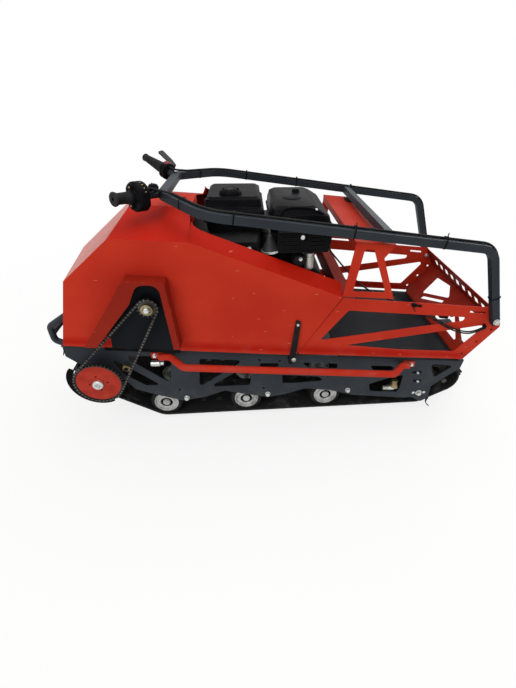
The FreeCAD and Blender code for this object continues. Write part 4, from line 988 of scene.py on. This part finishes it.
def make_starter():
    """Starter cover with radial slots, and a pull handle on its neck."""
    cover = Mould()
    cover.lathe(STARTER_AT, Y, [(90, 0), (92, 3), (92, 30), (88, 38), (70, 41), (67, 44), (66, 54),
                                (62, 58), (30, 58), (28, 55), (10, 55)], 56)
    cover.piece("starter_cover", BLACK_CAST, "chassis", ["recoil_starter"], smooth=35)
    slots = Mould()
    for a, b in circle(STARTER_SLOTS):
        spoke = X * a + Z * b
        slots.block(STARTER_AT + Y * 40.5 + spoke * 78.5, (14, 6, 5), spoke, Y)
        slots.block(STARTER_AT + Y * 57.5 + spoke * 46, (22, 3.5, 3), spoke, Y)
    slots.tube([(-78, 152, 692), (-86, 154, 696), (-94, 154, 700)], 4)
    slots.tube([(-82, 154, 714), (-96, 154, 702), (-106, 154, 684)], 7)
    slots.piece("starter_slots", PLASTIC, "chassis", bevel=0.8)


# ---- Controls --------------------------------------------------------------------------
LEFT, RIGHT = SIDES
GRIP_ROOT = {LEFT: Vector((-355, -124, 853.5)), RIGHT: Vector((-355, 124, 853.5))}
GRIP_ALONG = {LEFT: Vector((-0.6631, -0.7427, 0.0928)), RIGHT: Vector((-0.6982, 0.6703, 0.2514))}
BOX_SIDE = [(0.80, 0), (0.96, 2.5), (1.0, 5), (1.0, 13), (0.955, 14), (0.955, 16), (1.0, 17), (1.0, 25),
            (0.95, 28.5), (0.78, 30), (0.74, 28.6)]
COVER_SIDE = [(0.6, 0), (0.9, 2), (1.0, 5), (1.0, 18), (0.9, 21), (0.6, 23)]
EAR_LIFTS = (26, -26)
BOX_SCREWS = (205, 221, 237, 253)


def grip_place(side, reach, out=0.0, lift=0.0):
    """A place by one grip: its distance along it, out to the machine's left and above it."""
    along = GRIP_ALONG[side]
    up = (Z - along * along.z).normalized()
    return GRIP_ROOT[side] + along * reach + along.cross(up) * out + up * lift


def lobed(mould, side, reach, profile, tall, wide):
    """A waisted oval box round a grip: profile is a list of (scale, distance along the grip)."""
    rings = []
    for scale, step in profile:
        ring = []
        for k in range(48):
            angle = 2 * math.pi * k / 48
            waist = 1 - 0.14 * max(0.0, math.cos(2 * angle)) ** 4
            out = wide * scale * waist * math.cos(angle)
            ring.append(grip_place(side, reach + step, out, tall * scale * math.sin(angle)))
        rings.append(ring)
    mould.skin(rings)


def make_grips():
    """Sleeves with a fine ribbing, a collar and a hollow end."""
    sleeves = Mould()
    for side, start, end, root_r, tip_r, flare in ((LEFT, 105, 170, 17.5, 16.0, 20.5),
                                                   (RIGHT, 69, 186, 21.0, 13.5, 14.5)):
        length = end - start
        count = round((length - 20) / 5)
        profile = [(11.5, 0), (root_r, 1.5)]
        for k in range(count):
            r = root_r + (tip_r - root_r) * k / count
            h = 5 * k
            profile += [(r, h + 3), (r, h + 6), (r - 0.7, h + 6.6), (r - 0.7, h + 7.4)]
        profile += [(tip_r, length - 16), (flare - 2, length - 9), (flare, length - 5), (flare, length - 2),
                    (flare - 1.5, length), (6, length), (5, length - 1), (5, length - 6), (0.5, length - 6)]
        sleeves.lathe(grip_place(side, start), GRIP_ALONG[side], profile, 28)
    sleeves.piece("grip_sleeves", SOFT_RUBBER, "handlebar", ["grips"], smooth=30)


def make_housings():
    """Two-lobed throttle box on the left, and a round clamp under a red cover on the right."""
    left, right = GRIP_ALONG[LEFT], GRIP_ALONG[RIGHT]
    boxes = Mould()
    lobed(boxes, LEFT, 70, [(scale, step * 1.25) for scale, step in BOX_SIDE], 43, 42)
    boxes.lathe(grip_place(LEFT, 60), left, [(14, 0), (19, 4), (20, 54), (16, 58)], 28)
    lobed(boxes, RIGHT, 38, BOX_SIDE, 30, 30)
    for lift in EAR_LIFTS:
        boxes.lathe(grip_place(LEFT, 105.5, 8, lift), left, [(11, 0), (11, 4), (9, 5)], 20)
    boxes.tube(curve_through([grip_place(LEFT, 74, -30, 10), grip_place(LEFT, 66, -32, 12),
                              grip_place(LEFT, 52, -22, 14), grip_place(LEFT, 30, -6, 13)]), 3.4)
    boxes.block(grip_place(RIGHT, 56, 22, 10), (20, 20, 12), right)
    boxes.piece("control_boxes", PLASTIC, "handlebar", ["control_housings"], bevel=0.7)
    cover = Mould()
    lobed(cover, RIGHT, 44, COVER_SIDE, 12, 16)
    for point in cover.points:
        point += grip_place(RIGHT, 0, 2, 21) - grip_place(RIGHT, 0)
    cover.block(grip_place(LEFT, 46, 16, 8), (12, 10, 12), left)
    cover.piece("control_covers", CLEAR_RED, "handlebar", bevel=1.2)
    screws = Mould()
    for lift in EAR_LIFTS:
        screws.lathe(grip_place(LEFT, 109.5, 8, lift), left, [(3.2, 0), (3.2, 1.5), (2, 3), (1, 3)], 16)
    for degrees in BOX_SCREWS:
        turn = math.radians(degrees)
        place = grip_place(LEFT, 88, 41 * math.cos(turn), -42.5 * math.sin(turn))
        screws.lathe(place, place - grip_place(LEFT, 90), [(2.1, -2), (2.1, 1), (1, 2)], 10)
    screws.piece("control_screws", BRASS, "handlebar")


BUTTON_REACH = 31
BUTTON_OUT = 6
BUTTON_RIBS = 16
BUTTON_RADIUS = 14.8


def make_stop_button():
    """Ribbed round button on the left grip tube."""
    up = grip_place(LEFT, 0, 0, 1) - grip_place(LEFT, 0)
    button = Mould()
    foot = grip_place(LEFT, BUTTON_REACH, BUTTON_OUT, 3)
    button.lathe(foot, up, [(12.5, 0), (12.5, 4), (10.5, 5), (10.5, 7), (14, 9), (15.2, 15),
                            (BUTTON_RADIUS, 21), (12, 26), (6, 28)])
    for a, b in circle(BUTTON_RIBS, BUTTON_RADIUS):
        rib = grip_place(LEFT, BUTTON_REACH + a, BUTTON_OUT + b, 19.6)
        button.block(rib, (6, 1.6, 1.6), up, GRIP_ALONG[LEFT])
    button.piece("stop_button", PLASTIC, "handlebar", ["kill_switch"], smooth=35)


def make_wires():
    """Thin wire from the right clamp along the front tube, with a short lead to the button."""
    wires = Mould()
    gland = grip_place(LEFT, 20, 12, 14)
    wires.tube(curve_through([grip_place(RIGHT, 45, -8, -26), grip_place(RIGHT, 38, -7, -36),
                              grip_place(RIGHT, 22, -4, -34), (-358, 60, 829), (-356, 0, 828),
                              (-360, -80, 832), gland], 8), 1.6, 8)
    button = grip_place(LEFT, BUTTON_REACH, BUTTON_OUT, 29)
    wires.tube(curve_through([gland, grip_place(LEFT, 26, 20, 30), button], 8), 1.3, 8)
    wires.piece("control_wires", CORD, "handlebar", smooth=60)


# ---- Ties, welds and pivots of the handlebar -------------------------------------------
RUN_Y = 300
RUN_SLOPE = 0.1339
CROSS_X = 325
CROSS_Z = 762.45
POST_LEAN = Vector((-0.326, 0, 0.945))
CABLE_TOP = 21.5
PIVOT_X = 748
PIVOT_Z = 454
WELD_Y = RUN_Y - 12.4
WELD_REACH = 12
BEAD_RADIUS = 2.2


def run_height(x):
    """Height of the handlebar's long runs."""
    return CROSS_Z - RUN_SLOPE * (x - CROSS_X)


def square_band(mould, at, along, lift, tail=0.0):
    """A thin tie round the square tube and the cable on it, with its tail standing up."""
    along = along.normalized()
    side = (Y - along * along.y).normalized()
    up = along.cross(side)
    if up.z < 0:
        up = -up
    corners = [(-14, -14), (14, -14), (14, 11), (10, lift), (-10, lift), (-14, 11)]
    path = []
    for (a, b), (c, d) in zip(corners, corners[1:] + corners[:1]):
        path += [at + side * (a + (c - a) * t) + up * (b + (d - b) * t) for t in (0.12, 0.5, 0.88)]
    mould.tube(path, 2.2, 8, True, 0.45)
    if tail:
        mould.block(at + up * (lift + 1) - side * 6, (6, 6, 5), along, up)
        mould.tube([at + up * lift - side * 6, at + up * (lift + tail) - side * 4], 1.6, 6, False, 0.5)


def make_ties():
    """Ties along both runs, before their front bends and on the posts."""
    ties = Mould()
    run = Vector((1, 0, -RUN_SLOPE))
    for side, spots, front_top in ((LEFT, ((-137, 0), (211, 12), (494, 14)), CABLE_TOP),
                                   (RIGHT, ((-100, 0), (109, 0), (345, 0)), 15)):
        for x, tail in spots:
            square_band(ties, Vector((x, side * RUN_Y, run_height(x))), run, CABLE_TOP, tail)
        square_band(ties, Vector((-285, side * 220, run_height(-285))), Vector((-0.66, -side * 0.75, 0.088)),
                    front_top)
        square_band(ties, Vector((716.5, side * RUN_Y, 545)), POST_LEAN, 14, 7)
    ties.piece("cable_ties", PLASTIC, "handlebar", smooth=50)


def make_weld_beads():
    """Beads round the cross tube's ends and at the roots of the grip tubes."""
    beads = Mould()
    for side in SIDES:
        y = side * WELD_Y
        front, back = CROSS_X - WELD_REACH, CROSS_X + WELD_REACH
        seams = [((x, y, CROSS_Z + WELD_REACH), (x, y, CROSS_Z - WELD_REACH)) for x in (front, back)]
        seams += [((front, y, 764 + z), (back, y, 761 + z)) for z in (-12.5, 12.5)]
        for start, end in seams:
            beads.tube(straight(start, end, 12), BEAD_RADIUS, 8)
        beads.ring(grip_place(side, 14), GRIP_ALONG[side], [(10.5, -4), (15, -5), (13.5, 1), (11.2, 3)], 24)
    beads.piece("weld_beads", BAR_COAT, "handlebar", smooth=60)


def make_pivots():
    """Pivot bolts at the posts' feet, with a bush, a head outside and a nut inside."""
    heads = Mould()
    for side in SIDES:
        out = Y * side
        heads.lathe((PIVOT_X, side * 289, PIVOT_Z), out, [(11, 0), (11, 1.5), (6, 1.5), (6, 30)])
        heads.bolt((PIVOT_X, side * 312.6, PIVOT_Z), out, 18, 1.3, 0.32)
        heads.lathe((PIVOT_X, side * 268, PIVOT_Z), out, [(6, 0), (6, 22)], 16)
        heads.bolt((PIVOT_X, side * 277.8, PIVOT_Z), -out, 16, 1.25, 0.4)
    heads.piece("pivot_hardware", ZINC, "chassis", ["pivot_bolts"], smooth=30)


# ---- Fittings of the chassis -----------------------------------------------------------
PLATE_FACE = 265
CHAIN_WHEEL = (-635, 256)
OUTPUT_WHEEL = (-418, 551)
PLATE_BOLTS = ((-439, 337), (503, 246))
ARM_BOLTS = ((-354, 126), (-45, 126), (270, 126))
SLOTTED_BOLTS = ((537, 200, 16), (546, 156, 14))
REAR_STUDS = ((543, 93), (587, 93))
HOOD_FOOT = (1, 0, -HOOD_FOOT_SLOPE)
TRAY_RIM = (1, 0, -0.134)
TENSIONER_LEAN = (1, 0, -0.42)


def at_wheel(wheel, y):
    """A place on a wheel's axis."""
    return wheel[0], y, wheel[1]


def make_body_bolts():
    """Bolts and studs on the side plates and straps, both chain wheels' hubs and the rear adjusters."""
    bolts = Mould()
    for side in SIDES:
        out = Y * side
        face = side * PLATE_FACE
        for x, z in PLATE_BOLTS:
            bolts.bolt((x, side * 269.2, z), out, 12)
        for x, z in ARM_BOLTS:
            bolts.bolt((x, face, z), out, 15, 1.35)
        bolts.bolt((565, face, 92), out, 17, 1.5)
        for x, z, _ in SLOTTED_BOLTS:
            bolts.bolt((x + 2, side * 265.6, z), out, 9, 1.1)
        bolts.lathe((449, side * 250, 113), X, [(6, -32), (9, -30), (9, -16), (11, -14), (11, 12), (8, 14),
                                                (8, 26), (5, 28)], 12)
        for x, z in REAR_STUDS:
            bolts.lathe((x, face, z), out, [(6, 0), (6, 2), (3, 3)], 16)
        bolts.lathe((58, side * 292, 458), out, [(5, 0), (5, 2), (2, 3.5)], 16)
        bolts.lathe((48, side * 292, 310), out, [(8, 0), (8, 2), (5, 4), (1, 4.5)], 20)
    bolts.lathe(at_wheel(CHAIN_WHEEL, -311), -Y, [(18, 0), (18, 10), (16.5, 12.5), (9.5, 12.5), (8.8, 11),
                                                  (1, 11)])
    bolts.lathe((-443, -249, 286), X, [(6, -22), (11, -20), (12, 10), (8, 14), (8, 24)], 20)
    bolts.bolt(at_wheel(OUTPUT_WHEEL, -319), -Y, 17, 1.15, 0.45)
    bolts.lathe(at_wheel(CHAIN_WHEEL, PLATE_FACE), Y, [(16, 0), (16, 16), (12, 19)], 28)
    bolts.piece("body_bolts", ZINC, "chassis", smooth=30)


def make_brass_fittings():
    """Adjusters' sleeves, the ring behind the output bolt and the tensioner's block."""
    brass = Mould()
    for side in SIDES:
        brass.lathe((463, side * 250, 121), Z, [(17, 0), (16, 4), (12, 10), (11, 30), (13, 33)], 24)
    brass.ring(at_wheel(OUTPUT_WHEEL, -319.2), -Y, [(11.5, 0), (19, 0), (18.5, 3), (11.5, 3.5)], 36)
    brass.block((-541, -279, 294), (26, 10, 22), TENSIONER_LEAN)
    brass.piece("brass_fittings", BRASS, "chassis", bevel=0.6)


GUARD_STEPS = 28
GUARD_START = 150
GUARD_STEP = 4.8
GUARD_INNER = 90
GUARD_OUTER = 108
GUARD_SWELL = 11


def guard_outline():
    """A crescent under the chain wheel, wider in its middle."""
    angles = [math.radians(GUARD_START + GUARD_STEP * k) for k in range(GUARD_STEPS + 1)]
    reaches = [GUARD_OUTER + GUARD_SWELL * math.sin(math.pi * k / GUARD_STEPS) ** 0.6
               for k in range(GUARD_STEPS + 1)]
    angles += angles[::-1]
    reaches += [GUARD_INNER] * (GUARD_STEPS + 1)
    return [(reach * math.cos(angle), reach * math.sin(angle)) for reach, angle in zip(reaches, angles)]


def make_small_fittings():
    """Slots behind the small bolts, tray clips, rear flaps, wheel guard and bearing rings."""
    dark = Mould()
    for side in SIDES:
        for x, z, reach in SLOTTED_BOLTS:
            slot = [(reach * a + (4 if a > 0 else -4), 6.5 * b) for a, b in circle(24)]
            dark.plate((x, side * 265.2, z), slot, X, Z, -0.8 * side)
    for side in SIDES:
        clip = side * 284
        flap = side * 262
        dark.block((465, side * 283, 513), (32, 4, 7), TRAY_RIM)
        dark.tube([(452, clip, 512), (455, side * 285, 500), (462, clip, 490)], 1.2, 8)
        dark.lathe((452, side * 281, 517), Y * side, [(8, 0), (8, 7), (6, 9)], 20)
        dark.tube(curve_through([(613, flap, 62), (608, flap, 44), (612, flap, 27), (626, flap, 12)]), 6, 8,
                  False, 0.25)
    dark.block((578, -266, 462), (30, 18, 20), TRAY_RIM)
    dark.lathe((603, -277.5, 466), Y, [(8, 0), (8, 10), (5, 12)], 20)
    dark.tube([(-722, -284, 394), (-726, -285, 380), (-731, -285, 366)], 1.6, 8)
    dark.block((-541, -285.5, 294), (12, 4, 10), TENSIONER_LEAN)
    dark.block((-468, -286, 374), (250, 2.4, 12), HOOD_FOOT)
    dark.plate(at_wheel(CHAIN_WHEEL, -286.8), guard_outline(), X, Z, 1.6)
    dark.ring(at_wheel(OUTPUT_WHEEL, -287), -Y, [(20, 0), (29, 0), (28, 6), (21, 6)])
    dark.ring(at_wheel(CHAIN_WHEEL, PLATE_FACE), Y, [(18, 0), (36, 0), (34, 8), (20, 12)])
    dark.piece("small_fittings", PLASTIC, "chassis", smooth=35)


STRAP_FOOT = (46, 322)
STRAP_TOP = (60, 462)
STRAP_Y = 292.2


def make_seams():
    """Strip that closes the tail's foot on the floor, and the ridges on the straps."""
    strip = Mould()
    strip.block((684, 0, 262.6), (6, 552, 5.6))
    # the strip wears the red coat darkened as painted shade
    strip.piece("tail_foot_strip", SHADED_RED_COAT, "chassis", bevel=0.4)
    ridges = Mould()
    for side in SIDES:
        for shift in (-6, 6):
            foot, top = ((x + shift, side * STRAP_Y, z) for x, z in (STRAP_FOOT, STRAP_TOP))
            ridges.tube(straight(foot, top, 2), 2.2, 8)
    ridges.piece("strap_ridges", SOFT_RUBBER, "chassis", smooth=50)


make_track()
make_rollers()
make_chain()
make_engine()
make_air_cleaner()
make_tank()
make_exhaust()
make_starter()
make_grips()
make_housings()
make_stop_button()
make_wires()
make_ties()
make_weld_beads()
make_pivots()
make_body_bolts()
make_brass_fittings()
make_small_fittings()
make_seams()
